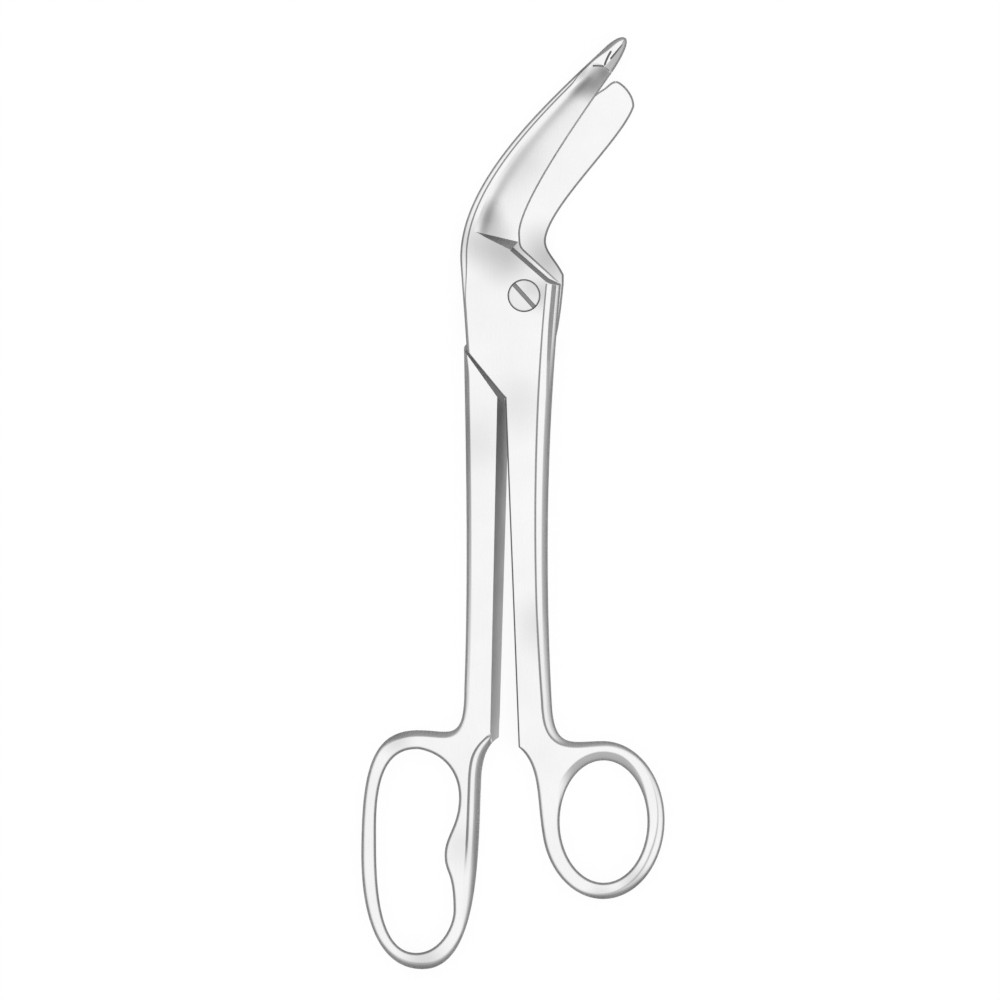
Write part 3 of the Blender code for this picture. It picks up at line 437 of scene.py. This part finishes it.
def raise_rows(bm, rows, finishes):
    """Draw one closed ring and extrude it from row to row. Gives back the first and the last ring."""
    verts = [bm.verts.new(place) for place in rows[0]]
    first = [bm.edges.new(pair) for pair in zip(verts, verts[1:] + verts[:1])]
    ring = first
    order = {vert: i for i, vert in enumerate(verts)}
    for row in rows[1:]:
        made = bmesh.ops.extrude_edge_only(bm, edges=ring)["geom"]
        fresh = {}
        for vert in (item for item in made if isinstance(item, bmesh.types.BMVert)):
            ends = (edge.other_vert(vert) for edge in vert.link_edges)
            fresh[vert] = next(order[end] for end in ends if end in order)
        for vert, i in fresh.items():
            vert.co = row[i]
        for face in (item for item in made if isinstance(item, bmesh.types.BMFace)):
            column = [fresh[vert] for vert in face.verts if vert in fresh]
            face.material_index = min(finishes[i] for i in column)
        ring = [item for item in made if isinstance(item, bmesh.types.BMEdge)
                and all(vert in fresh for vert in item.verts)]
        order = fresh
    return first, ring


def wall(bm, points, edges, finishes):
    """Raise the dressed wall of one closed outline from the inside face to the outside face."""
    rows = [[] for _ in range(2 * (RUNS + 1) + 1)]
    for i, point in enumerate(points):
        arriving = (point - points[i - 1]).normalized()
        leaving = (points[(i + 1) % len(points)] - point).normalized()
        inward = Vector((-arriving.y - leaving.y, arriving.x + leaving.x)).normalized()
        mitre = 1 / max(0.6, inward.dot(Vector((-leaving.y, leaving.x))))
        edge = edges[i]
        thin = thinning(point.x, point.y)
        foot = LAP + LAP_FACE if point.y > 0 else 0.0
        section = [(inset, min(drop, foot) + max(drop - foot, 0.0) / thin - LAP)
                   for inset, drop in edge.inside]
        section.append((0.0, edge.middle))
        low = max(edge.middle, LAP_FACE + KEEN_FLAT)
        section += [(inset, max(LAP - drop / thin, low)) for inset, drop in edge.outside[::-1]]
        for row, (inset, height) in zip(rows, section):
            place = point + inward * inset * mitre
            row.append((place.x, place.y, height))
    return raise_rows(bm, rows, finishes)


def new_piece(name, bm, steels):
    bmesh.ops.recalc_face_normals(bm, faces=bm.faces)
    mesh = bpy.data.meshes.new(name)
    bm.to_mesh(mesh)
    bm.free()
    for steel in steels:
        mesh.materials.append(steel)
    made = bpy.data.objects.new(name, mesh)
    bpy.context.scene.collection.objects.link(made)
    return made


def forging(name, outline, opening, steels):
    """The blank: a plate with dressed edges and the opening of its bow."""
    bm = bmesh.new()
    low_outer, high_outer = wall(bm, *outline)
    low_inner, high_inner = wall(bm, *opening)
    bmesh.ops.triangle_fill(bm, use_beauty=True, edges=low_outer + low_inner)
    bmesh.ops.triangle_fill(bm, use_beauty=True, edges=high_outer + high_inner)
    return new_piece(name, bm, steels)


def tool(rings, steels, finishes):
    """Closed shape that is taken away from a forging, and leaves its own finish there."""
    bm = bmesh.new()
    ends = raise_rows(bm, rings, finishes)
    for end in ends:
        made = bmesh.ops.edgeloop_fill(bm, edges=end)["faces"]
        made[0].material_index = finishes[0]
    bmesh.ops.triangulate(bm, faces=bm.faces)
    return new_piece("grinding_tool", bm, steels)


def upright(points, low, high, steels, finish):
    rings = [[(p.x, p.y, height) for p in points] for height in (low, high)]
    return tool(rings, steels, [finish] * len(points))


def take_away(body, cutter):
    boolean = body.modifiers.new("cut", "BOOLEAN")
    boolean.operation = "DIFFERENCE"
    boolean.solver = "EXACT"
    boolean.material_mode = "INDEX"
    boolean.object = cutter
    evaluated = body.evaluated_get(bpy.context.evaluated_depsgraph_get())
    mesh = bpy.data.meshes.new_from_object(evaluated)
    body.modifiers.clear()
    body.data = mesh
    bpy.data.objects.remove(cutter)


def circle(radius):
    return [toward(5.0 * i) * radius for i in range(72)]


def lap_recess(flat, bearing, reach, steels):
    """Takes the inside half from the lap and the blade, up to a shoulder beside the other half."""
    opening = degrees(acos((flat + 0.5) / reach))
    sweep = 360.0 - 2 * opening
    points = [toward(bearing + opening + sweep * i / 120) * reach for i in range(121)]
    return upright(points, -LAP - 1.5, LAP_FACE, steels, POLISHED)


# Slope of the hollow from the land (0) to the keen edge (1), at the root of the blade and near its tip
ROOT_SLOPES = [(0.0, 0.3), (0.04, 0.8), (0.08, 1.6), (0.12, 2.2), (0.17, 2.4), (0.22, 2.2), (0.28, 1.5),
               (0.36, 1.0), (0.5, 0.8), (0.7, 0.65), (0.85, 0.5), (1.0, 0.35)]
TIP_SLOPES = [(0.0, 0.5), (0.04, 0.9), (0.08, 1.4), (0.12, 1.7), (0.17, 1.75), (0.22, 1.7), (0.28, 1.5),
              (0.36, 1.25), (0.5, 1.0), (0.7, 0.75), (0.85, 0.55), (1.0, 0.4)]


def falls_across(slopes):
    """Share of the depth that the hollow has fallen at each place across it, from a little before it."""
    falls = [(-0.06, -0.06 * slopes[0][1]), (0.0, 0.0)]
    for (before, slope), (after, next_slope) in zip(slopes, slopes[1:]):
        falls.append((after, falls[-1][1] + (slope + next_slope) / 2 * (after - before)))
    return [(across, fall / falls[-1][1]) for across, fall in falls]


def hollow_grind(land, keen, land_step, keen_step, steels):
    """The hollow between the land and the keen edge, with its step at the lap and its round run-out."""
    land = evenly(land, 60)
    keen = evenly(keen, 60)
    full = LAP - LAP_FACE - KEEN_FLAT
    above = -0.3 / full
    run_out = 6.0
    roundness = 1.5
    along = toward(BLADE_HEADING)
    stations = [(land_step, keen_step, above, 0.0)]
    for near, far in zip(land, keen):
        left = ((land[-1] - near).length + (keen[-1] - far).length) / 2
        reached = min(1.0, left / run_out)
        stations.append((near, far, sin(reached * pi / 2), (1 - reached) * roundness))
    past = along * 0.3
    stations.append((land[-1] + past, keen[-1] + past, above, roundness))
    rings = []
    for i, (near, far, depth, nose) in enumerate(stations):
        share = min(1.0, i / 25)
        ring = []
        for (across, root), (_, tip) in zip(falls_across(ROOT_SLOPES), falls_across(TIP_SLOPES)):
            fall = root + (tip - root) * share
            drop = depth * full * (fall if depth > 0 else 1.0)
            place = near.lerp(far, across) + along * 4 * nose * across * (1 - across)
            ring.append((place.x, place.y, LAP - drop))
        start = near.lerp(far, -0.06)
        ring.append((far.x, far.y, LAP + 1.5))
        ring.append((start.x, start.y, LAP + 1.5))
        rings.append(ring)
    return tool(rings, steels, [GROUND] * len(rings[0]))


def heel_ledge(flat, bearing, step_corner, lap_corner, steels):
    """The ledge and its slanted wall along a heel flat, from the step out past the lap."""
    along = toward(bearing + 90.0)
    if along.dot(lap_corner - step_corner) < 0:
        along = -along
    floor = LAP_FACE + KEEN_FLAT
    depth = LAP - floor
    over = 1 + 1.5 / depth
    rings = []
    begin = along.dot(step_corner)
    length = along.dot(lap_corner) - begin
    for place, foot in ((begin - 0.3, 1.45), (begin + 0.79 * length, 1.10), (begin + length + 3.0, -0.9)):
        section = [(-1.5, floor), (foot, floor), (foot + 1.15 * over, floor + depth * over),
                   (-1.5, floor + depth * over)]
        points = [toward(bearing) * (flat - inside) + along * place for inside, height in section]
        rings.append([(p.x, p.y, height) for p, (inside, height) in zip(points, section)])
    # The ledge's wall takes the dull steel, whose darker colour is painted shade
    return tool(rings, steels, [POLISHED, SHADED_DULL, SHADED_DULL, SHADED_DULL])


def groove(points, width, depth, height, steels):
    """A fine V-shaped line along the points, which runs out at both ends."""
    rings = []
    for i, point in enumerate(points):
        along = (points[min(i + 1, len(points) - 1)] - points[max(i - 1, 0)]).normalized()
        side = Vector((-along.y, along.x)) * width
        full = 0.05 if i in (0, len(points) - 1) else 1.0
        left = point + side * (0.5 * full)
        right = point - side * (0.5 * full)
        rings.append([(left.x, left.y, height + 0.01), (point.x, point.y, height - depth * full),
                      (right.x, right.y, height + 0.01), (point.x, point.y, height + 0.5)])
    # The groove takes the dull steel, whose darker colour is painted shade along the line
    return tool(rings, steels, [SHADED_DULL] * 4)


def tip_point(back, right):
    """Point measured back from the end of the front spine and to the right of the blade's heading."""
    return FRONT_TIP - toward(BLADE_HEADING) * back + toward(BLADE_HEADING - 90.0) * right


def land_line(spine, side, setback):
    """Where the land meets the hollow: beside the spine, and running out to it a little before its end."""
    narrow = [2.95 - 1.15 * i / len(spine) for i in range(len(spine))]
    line = [beside(spine, side * width)[i] for i, width in enumerate(narrow)]
    line = [p for p in line if p.y > 17.0 and (p - spine[-1]).length > setback + 5.0]
    ends = [p for p in beside(spine, side * 0.7) if (p - spine[-1]).length > setback]
    along = line[-1] - line[-2]
    heading = degrees(atan2(along.y, along.x))
    return line + curve(line[-1], heading, 0.4, ends[-1], heading - side * 25.0, 0.3)[1:]


def lowest(item):
    """The least y of a vertex, an edge or a face."""
    verts = [item] if isinstance(item, bmesh.types.BMVert) else item.verts
    return min(vert.co.y for vert in verts)


def shade_evenly(body):
    """Smooth shading that keeps the corners."""
    body.data.shade_smooth()
    body.data.set_sharp_from_angle(angle=radians(27.0))
    weighted = body.modifiers.new("even_shading", "WEIGHTED_NORMAL")
    weighted.keep_sharp = True


def finish_half(body, turned_over, opened):
    """Thin the shank, the bow and the blade, set the half at its height and open it."""
    bm = bmesh.new()
    bm.from_mesh(body.data)
    for y, _ in SHANK_THINS:
        everything = bm.verts[:] + bm.edges[:] + bm.faces[:]
        bmesh.ops.bisect_plane(bm, geom=everything, dist=1e-4, plane_co=(0, y, 0), plane_no=(0, 1, 0))
    out = toward(60.0).to_3d()
    for reach in range(18, 66, 4):
        blade = [item for item in bm.verts[:] + bm.edges[:] + bm.faces[:] if lowest(item) > 8.0]
        bmesh.ops.bisect_plane(bm, geom=blade, dist=1e-4, plane_co=out * reach, plane_no=out)
    for vert in bm.verts:
        thin = thinning(vert.co.x, vert.co.y)
        if vert.co.y > 0 and abs(vert.co.z) > LAP_FACE:
            side = 1 if vert.co.z > 0 else -1
            vert.co.z = side * (LAP_FACE + (abs(vert.co.z) - LAP_FACE) * thin)
        elif vert.co.y <= 0:
            vert.co.z *= thin
    if turned_over:
        for vert in bm.verts:
            vert.co.z = -vert.co.z
    bmesh.ops.translate(bm, verts=bm.verts, vec=(0, 0, LAP))
    bmesh.ops.rotate(bm, verts=bm.verts, cent=(0, 0, 0), matrix=Matrix.Rotation(radians(opened), 3, "Z"))
    bmesh.ops.scale(bm, verts=bm.verts, vec=(0.001, 0.001, 0.001))
    bmesh.ops.dissolve_degenerate(bm, dist=1e-7, edges=bm.edges)
    bmesh.ops.recalc_face_normals(bm, faces=bm.faces)
    bm.to_mesh(body.data)
    bm.free()
    shade_evenly(body)


# Patches of painted shade on the rear half: place in plan, radius, and how much darker
REAR_PAINTED_SHADE = [(6.0, 10.0, 12.0, 0.42), (-26.0, -172.5, 9.0, 0.25), (-33.0, -114.5, 6.0, 0.20),
              (-16.0, -142.0, 9.0, 0.12), (-12.5, -38.0, 12.0, 0.10)]
# The dull steel's darker colour is painted shade in the recesses and at the parting wall
rear_steels = [satin_steel("satin_steel_rear", 0.875, 0.25, 0.05, 0.08, 2.0, REAR_PAINTED_SHADE),
               satin_steel("ground_steel_rear", 0.875, 0.25, 0.05, 0.08, 40.0),
               satin_steel("dull_steel_painted_shade_rear", 0.55, 0.55, 0.20, 0.40, 0.0)]
bow_left = -42.0
bow_right = -11.3
bow_top = -112.1
bow_bottom = -173.8
rear_low = Vector((bow_left + 15.8, bow_bottom))
rear_neck_low = Vector((bow_right + 0.2, bow_top - 14.7))
rear_shank_end = Vector((parting_x(-113.9) - 0.2 + parting_run(-113.9), -113.9))
rear_shoulder = flat_at(*REAR_LOW_FLAT, parting_x(-28.0) - 0.2 + parting_run(-28.0))
rear_low_corner = rounded(flat_at(*REAR_LOW_FLAT, 7.3), 48.8, 73.0, 1.8)
rear_spine = curve((5.65, 14.3), 85.8, 0.21, tip_point(8.3, 12.1), 73.0, 0.21)
rear_keen = curve((-5.3, 15.0), 65.1, 0.325, tip_point(10.3, 3.3), 30.7, 0.30)
rear_tip = tip_point(6.8, 4.2)
rear_heel = flat_at(*REAR_HEEL, -6.5)
rear_lap_corner = rounded(flat_at(*REAR_HEEL, -14.7), 231.7, -90.0, 1.8)
rear_heel_flat = straight(rear_heel + toward(231.7) * 1.5, rear_lap_corner[0] - toward(231.7) * 0.9)
rear_neck = Vector((parting_x(-101.2) - 7.1, -101.2))
bow_crown = Vector((bow_left + 14.7, bow_top))
bow_side = Vector((bow_left, bow_top - 32.4))
bow_right_side = curve(rear_low, 0.0, 0.297, rear_neck_low, 87.7, 0.359)
rear_bend = curve(rear_neck_low, 88.0, 0.235, rear_shank_end, 30.5, 0.39)[:-1]
rear_side = curve((-15.5, -13.5), -88.9, 0.33, rear_neck, -92.1, 0.33)
bow_start = curve(rear_neck, -90.0, 0.896, bow_crown, 180.0, 0.516)
bow_shoulder = curve(bow_crown, 180.0, 0.337, bow_side, -90.0, 0.63)
bow_low_side = curve(bow_side, -90.0, 0.393, rear_low, 0.0, 0.376)
rear_outline = dress([
    stretch(between(bow_right_side, -inf, -164.0), low_edge, bow_edge),
    stretch(between(bow_right_side, -164.0, -151.0), bow_edge, faded_neck_edge),
    stretch(between(bow_right_side, -151.0, -141.0), faded_neck_edge, finger_neck_edge),
    stretch(between(bow_right_side, -141.0, inf), finger_neck_edge),
    stretch(between(rear_bend, -inf, -119.5), finger_neck_edge),
    stretch(between(rear_bend, -119.5, inf), finger_neck_edge, pinched_neck_edge),
    stretch(straight(rear_shank_end, rear_shoulder), parting_edge(-113.9), parting_edge(rear_shoulder.y),
            True, SHADED_DULL),
    stretch(rear_low_corner, crisp_edge, keep=True),
    stretch(curve(rear_low_corner[-1], 73.0, 0.35, (10.25, 3.0), 84.0, 0.33)[1:], spine_edge),
    stretch(curve((10.25, 5.4), 115.5, 0.45, (5.65, 14.3), 88.0, 0.3), spine_edge),
    stretch(rear_spine, spine_edge),
    stretch(curve(rear_spine[-1], 90.0, 0.44, rear_tip, 180.0, 0.14), spine_edge),
    stretch(curve(rear_tip, 180.0, 0.33, rear_keen[-1], 218.6, 0.33), spine_edge, bevelled_keen_edge,
            finish=SHADED_DULL),
    stretch(rear_keen[:-11:-1], bevelled_keen_edge, keep=True, finish=SHADED_DULL),
    stretch(rear_keen[-11::-1], bevelled_keen_edge, keep=True),
    stretch(rounded(rear_heel, 246.0, 231.7, 3.0), bevelled_keen_edge, keep=True),
    stretch(rear_heel_flat, bevelled_keen_edge, keep=True),
    stretch(rear_lap_corner, crisp_edge, keep=True),
    stretch(straight(rear_lap_corner[-1], Vector((-14.7, -11.8)))[1:], crisp_edge, keep=True),
    stretch(curve((-14.7, -12.0), -90.0, 0.3, (-15.5, -13.4), -90.0, 0.2)[1:], crisp_edge),
    stretch(between(rear_side, -20.0, inf), crisp_edge, band_edge),
    stretch(between(rear_side, -32.0, -20.0), band_edge),
    stretch(between(rear_side, -inf, -32.0), band_edge, soft_band_edge),
    stretch(between(bow_start, -16.5, inf, 0), soft_band_edge, bow_edge),
    stretch(between(bow_start, -20.0, -16.5, 0), bow_edge, top_edge),
    stretch(between(bow_start, -inf, -20.0, 0), top_edge),
    stretch(between(bow_shoulder, -32.0, inf, 0), top_edge),
    stretch(between(bow_shoulder, -37.5, -32.0, 0), top_edge, bow_edge),
    stretch(between(bow_shoulder, -inf, -37.5, 0), bow_edge),
    stretch(between(bow_low_side, -166.0, inf), bow_edge),
    stretch(between(bow_low_side, -inf, -166.0), bow_edge, low_edge),
])
hole_high = Vector((bow_left + 14.9, bow_top - 4.95))
hole_upper = Vector((bow_right - 5.5, bow_top - 17.4))
finger_rest = Vector((bow_right - 9.2, bow_top - 32.2))
hole_lower = Vector((bow_right - 6.9, bow_bottom + 15.2))
hole_low = Vector((bow_left + 14.2, bow_bottom + 4.25))
hole_side = Vector((bow_left + 3.85, bow_top - 24.9))
rear_opening = dress([
    stretch(curve(hole_high, -10.0, 0.364, hole_upper, -90.0, 0.437), hole_edge),
    stretch(curve(hole_upper, -90.0, 0.478, finger_rest, -90.0, 0.325), hole_edge),
    stretch(curve(finger_rest, -90.0, 0.341, hole_lower, -90.0, 0.715), hole_edge),
    stretch(curve(hole_lower, -90.0, 0.267, hole_low, 180.0, 0.426), hole_edge),
    stretch(curve(hole_low, 180.0, 0.318, hole_side, 90.0, 0.33), hole_edge),
    stretch(curve(hole_side, 90.0, 0.62, hole_high, -3.0, 0.33), hole_edge),
])
rear_half = forging("rear_forging", rear_outline, rear_opening, rear_steels)
rear_reach = rear_tip.length
take_away(rear_half, lap_recess(20.25, FRONT_LOW_FLAT[1], rear_reach * 1.2, rear_steels))
rear_land = land_line(rear_spine, 1, 3.4)
rear_step = flat_at(10.1, REAR_HEEL[1], -4.0)
rear_keen_step = rear_step + (rear_step - rear_land[0]).normalized() * 3.0
rear_keen_line = [rear_keen_step + toward(100.0) * 3.6] + beside(rear_keen[1:], 1.5)
take_away(rear_half, hollow_grind(rear_land, rear_keen_line, rear_land[0] + toward(-90.0) * 0.3, rear_keen_step,
                                  rear_steels))
take_away(rear_half, heel_ledge(*REAR_HEEL, rear_step, flat_at(*REAR_HEEL, -15.5), rear_steels))
# The finger neck ends behind the plane of the parting wall, and so clears the front shank when closed
neck_cut = []
for y in (-119.0, -113.9, -109.0):
    left = parting_x(y) - 0.17
    run = parting_run(y)
    neck_cut.append([(left - run / 16, y, -LAP - 0.5), (left + run * 17 / 16, y, LAP + 0.5),
                     (left + 9.0, y, LAP + 0.5), (left + 9.0, y, -LAP - 0.5)])
take_away(rear_half, tool(neck_cut, rear_steels, [SHADED_DULL] * 4))
relief_start = flat_at(20.8, FRONT_LOW_FLAT[1], -18.0)
relief_end = flat_at(21.05, FRONT_LOW_FLAT[1], parting_x(-28.0) + 4.5)
relief_side = toward(36.0) * 3.4
relief = [relief_start, relief_end, relief_end + relief_side, relief_start + relief_side]
take_away(rear_half, upright(relief, -LAP, LAP_FACE + 0.35, rear_steels, SHADED_DULL))
take_away(rear_half, upright(circle(2.9), -2 * LAP, 2 * LAP, rear_steels, SHADED_DULL))
finish_half(rear_half, True, 0.0)
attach(rear_half, "rear")
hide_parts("rear_half")


# Front half. The other forging, with the probe-pointed blade that slides under a bandage, the smooth side
# of the lap and the thumb ring. Its outside is up: hollow grind, step, ledge and the long band show.
# Patches of painted shade on the front half's lap, shank, ring and hollow: place in plan, radius, and how much
# darker
LAP_PAINTED_SHADE = [(14.9, 57.6, 3.8, 0.38), (-4.5, 11.5, 12.0, 0.42), (4.6, 0.5, 7.0, 0.34),
             (-13.0, 14.0, 9.0, 0.22), (6.0, -85.0, 12.0, 0.18), (29.0, -152.0, 7.0, 0.25),
             (20.0, -156.0, 6.0, 0.25), (-1.0, -28.0, 12.0, 0.12)]
HOLLOW_PAINTED_SHADE = [(-9.5, 21.0, 6.0, 0.38), (-8.0, 15.5, 7.0, 0.30), (18.5, 54.6, 6.6, 0.60),
                (15.6, 53.4, 4.5, 0.18), (13.2, 53.2, 4.0, 0.28), (21.0, 58.0, 4.5, 0.60),
                (-3.0, 35.0, 12.0, 0.12)]
# The dull steel's darker colour is painted shade in the recesses, the grooves and at the parting wall
front_steels = [satin_steel("satin_steel_front", 0.875, 0.25, 0.05, 0.08, 2.0, LAP_PAINTED_SHADE),
                satin_steel("ground_steel_front", 0.875, 0.25, 0.05, 0.08, 40.0, HOLLOW_PAINTED_SHADE),
                satin_steel("dull_steel_painted_shade_front", 0.38, 0.55, 0.20, 0.40, 0.0)]
FACET = [(0.05, 12), (0.08, 22), (0.40, 29), (0.40, 29), (0.40, 29), (0.40, 29), (0.30, 29), (0.10, 36),
         (0.14, 40), (0.14, 41), (0.14, 41)]
NOSE = [(0.05, 12), (0.05, 22), (0.06, 29), (0.06, 29), (0.06, 29), (0.06, 29), (0.06, 29), (0.08, 36),
        (0.12, 40), (0.12, 41), (0.12, 41)]
TIP_RIM = [(0.04, 14), (0.06, 25), (0.16, 33), (0.16, 34), (0.16, 35), (0.16, 36), (0.12, 37), (0.12, 38),
           (0.12, 40), (0.12, 41), (0.10, 42)]
LAP_BAND = [(0.08, 28), (0.18, 39), (0.17, 39), (0.08, 18), (1.05, 4), (0.15, 24), (1.08, 37), (0.12, 24),
            (0.50, 12), (0.25, 39), (0.30, 41)]
facet_edge = blade_rim(FACET)
nose_edge = blade_rim(NOSE)
tip_rim_edge = blade_rim(TIP_RIM)
lap_band_edge = shank_rim(LAP_BAND)
ring_top_edge = blend(bow_edge, top_edge, 0.6)
ring_centre = Vector((12.1, -136.3))


def ring(centre, width, length, begin, finish):
    """Points round an upright ellipse that leans with the shank, between two angles."""
    lean = Matrix.Rotation(radians(-3.5), 2)
    steps = round(radians(abs(finish - begin)) * (width + length) / 4 / 0.5)
    angles = [radians(begin + (finish - begin) * i / steps) for i in range(steps + 1)]
    return [centre + lean @ Vector((cos(a) * width / 2, sin(a) * length / 2)) for a in angles]


ring_left = ring(ring_centre, 31.8, 40.8, -170.0, -115.0)
ring_low = ring(ring_centre, 31.8, 40.8, -115.0, -75.0)
ring_right = ring(ring_centre, 31.8, 40.8, -75.0, -25.0)
ring_side = ring(ring_centre, 31.8, 40.8, -25.0, 50.0)
ring_top = ring(ring_centre, 31.8, 40.8, 50.0, 90.0)
front_neck = Vector((parting_x(-104.5) + 9.1, -104.5))
front_lap_right = flat_at(*FRONT_HEEL, 9.7)
front_lap_corner = rounded(front_lap_right, 81.0, 133.8, 0.5)
front_heel = rounded(flat_at(*FRONT_HEEL, -0.1), 133.8, 90.0, 3.0)
front_heel_flat = straight(front_lap_corner[-1] + toward(133.8) * 0.45, front_heel[0])
front_side = curve(front_neck, 89.5, 0.341, front_lap_corner[0], 81.0, 0.337)
front_lap_low = flat_at(*FRONT_LOW_FLAT, -15.6)
front_shoulder_end = flat_at(*FRONT_LOW_FLAT, parting_x(-20.5) + 0.1)
front_shank_end = Vector((parting_x(-116.2) + 0.1, -116.2))
front_keen = curve((-0.1, 15.9), 87.8, 0.175, tip_point(6.0, 5.6), 51.5, 0.191)
front_spine = curve((-15.85, 8.9), 91.0, 0.31, tip_point(0, 0), 39.9, 0.293)
probe_nose = tip_point(-4.4, 2.4)
probe_side = curve(front_keen[-1], 49.6, 0.3, probe_nose, 142.9, 0.18)
ring_neck = curve(ring_top[-1], 176.5, 0.5, front_neck, 88.6, 0.78)
front_outline = dress([
    stretch(ring_left, bow_edge),
    stretch(ring_low, bow_edge, low_edge),
    stretch(ring_right, low_edge, ridged_edge),
    stretch(ring_side, ridged_edge, bow_edge),
    stretch(ring_top, bow_edge, ring_top_edge),
    stretch(between(ring_neck, -inf, -115.3), ring_top_edge, top_edge),
    stretch(between(ring_neck, -115.3, -111.5), top_edge, narrow_band_edge),
    stretch(between(ring_neck, -111.5, inf), narrow_band_edge, finish=GROUND),
    stretch(between(front_side, -inf, -80.0), narrow_band_edge, band_edge, finish=GROUND),
    stretch(between(front_side, -80.0, -26.0), band_edge, wide_band_edge, finish=GROUND),
    stretch(between(front_side, -26.0, -8.0), wide_band_edge, lap_band_edge, finish=GROUND),
    stretch(between(front_side, -8.0, inf), lap_band_edge, keep=True, finish=GROUND),
    stretch(front_lap_corner, corner_edge, keep=True),
    stretch(front_heel_flat, keen_edge, keep=True),
    stretch(front_heel, keen_edge, keep=True),
    stretch(front_keen, keen_edge, keep=True),
    stretch(probe_side[1:3], keen_edge, keep=True),
    stretch(probe_side[3:], facet_edge, nose_edge, True),
    stretch(curve(probe_nose, 138.6, 0.29, tip_point(0, 0), 216.9, 0.28)[1:], nose_edge, tip_rim_edge),
    stretch(from_start(front_spine[::-1], 0.0, 5.0), tip_rim_edge, blade_edge),
    stretch(from_start(front_spine[::-1], 5.0, 12.0), blade_edge),
    stretch(from_start(front_spine[::-1], 12.0, inf), spine_edge, broad_spine_edge),
    stretch(straight(Vector((-15.85, 8.9)), Vector((-15.72, 0.0))), broad_spine_edge, crisp_edge),
    stretch(rounded(front_lap_low, -90.0, 306.0, 1.8), crisp_edge),
    stretch(straight(front_lap_low, front_shoulder_end)[1:-1], corner_edge, keep=True),
    stretch(straight(front_shoulder_end, front_shank_end), parting_edge(-20.5), parting_edge(-116.2),
            True, SHADED_DULL),
    stretch(curve(front_shank_end, -43.5, 0.32, ring_left[0], -84.0, 0.4)[1:], crisp_edge, bow_edge),
])
hole_centre = ring_centre + Vector((0.1, -0.4))
front_opening = dress([
    stretch(ring(hole_centre, 22.6, 31.5, 160.0, 150.0), hole_edge, faded_top_edge),
    stretch(ring(hole_centre, 22.6, 31.5, 150.0, 130.0), faded_top_edge, hole_top_edge),
    stretch(ring(hole_centre, 22.6, 31.5, 130.0, 70.0), hole_top_edge),
    stretch(ring(hole_centre, 22.6, 31.5, 70.0, 20.0), hole_top_edge, hole_edge),
    stretch(ring(hole_centre, 22.6, 31.5, 20.0, -200.0), hole_edge),
])
front_half = forging("front_forging", front_outline, front_opening, front_steels)
take_away(front_half, lap_recess(*REAR_LOW_FLAT, rear_reach + 0.7, front_steels))
front_land = land_line(front_spine, -1, 6.0)
front_step = flat_at(6.2, FRONT_HEEL[1], -2.6)
front_keen_step = front_step + (front_step - front_land[0]).normalized() * 3.0
front_keen_line = [front_keen_step + toward(62.0) * 3.6] + beside(front_keen[1:], -1.5)
take_away(front_half, hollow_grind(front_land, front_keen_line, front_land[0] + toward(-90.0) * 0.3,
                                   front_keen_step, front_steels))
take_away(front_half, heel_ledge(*FRONT_HEEL, front_step, front_lap_right, front_steels))
probe_stem = curve(tip_point(4.6, 2.9), 74.0, 0.3, tip_point(0.4, 1.75), 52.0, 0.3)
probe_bar = curve(tip_point(6.6, 0.5), 0.0, 0.3, tip_point(4.8, 2.9), -15.0, 0.3)
probe_ridge = curve(tip_point(2.4, 2.95), BLADE_HEADING, 0.3, tip_point(-3.0, 2.95), BLADE_HEADING, 0.3)
for probe_line in (probe_stem, probe_bar, probe_ridge):
    take_away(front_half, groove(probe_line, 0.55, 0.40, LAP, front_steels))
take_away(front_half, upright(circle(3.3), -LAP, 2 * LAP, front_steels, SHADED_DULL))
counterbore = [[(p.x, p.y, height) for p in circle(radius)] for radius, height in
               ((4.12, LAP - 2.2), (4.12, LAP - 0.12), (4.26, LAP), (4.28, 2 * LAP))]
take_away(front_half, tool(counterbore, front_steels, [SHADED_DULL] * 72))
finish_half(front_half, False, 3.5)
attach(front_half, "front")
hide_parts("front_half")


# Pivot screw. Turned from steel bar, with a flush slotted head, a smooth journal for the front half and a
# threaded end in the rear half.
# The screw's steel has a patch of painted shade on its head
screw_steels = [satin_steel("screw_steel", 0.82, 0.28, 0.06, 0.12, 42.0, [(2.0, 2.2, 5.0, 0.22)]),
                # The slot's steel is darker as painted shade down in the slot
                satin_steel("slot_steel_painted_shade", 0.38, 0.50, 0.20, 0.40, 42.0)]
head = [(0.0, 0.0), (2.3, 0.0), (2.6, 0.3), (2.6, 4.15), (3.0, 4.15), (3.0, 6.1), (4.00, 6.1), (4.00, 7.84),
        (3.78, 7.99), (3.75, 8.0), (0.0, 8.0)]
bm = bmesh.new()
points = [bm.verts.new((radius, 0.0, height)) for radius, height in head]
line = [bm.edges.new(pair) for pair in zip(points, points[1:])]
bmesh.ops.spin(bm, geom=points + line, cent=(0, 0, 0), axis=(0, 0, 1), angle=2 * pi, steps=96, use_merge=True)
bmesh.ops.remove_doubles(bm, verts=bm.verts, dist=1e-4)
pivot_screw = new_piece("slotted_screw", bm, screw_steels)
along = toward(-48.0) * 6.0
across = toward(42.0) * 0.57
slot = [-along - across, along - across, along + across, -along + across]
take_away(pivot_screw, upright(slot, 7.0, 9.5, screw_steels, 1))
pivot_screw.data.transform(Matrix.Scale(0.001, 4))
shade_evenly(pivot_screw)
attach(pivot_screw, "rear")
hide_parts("pivot_screw")
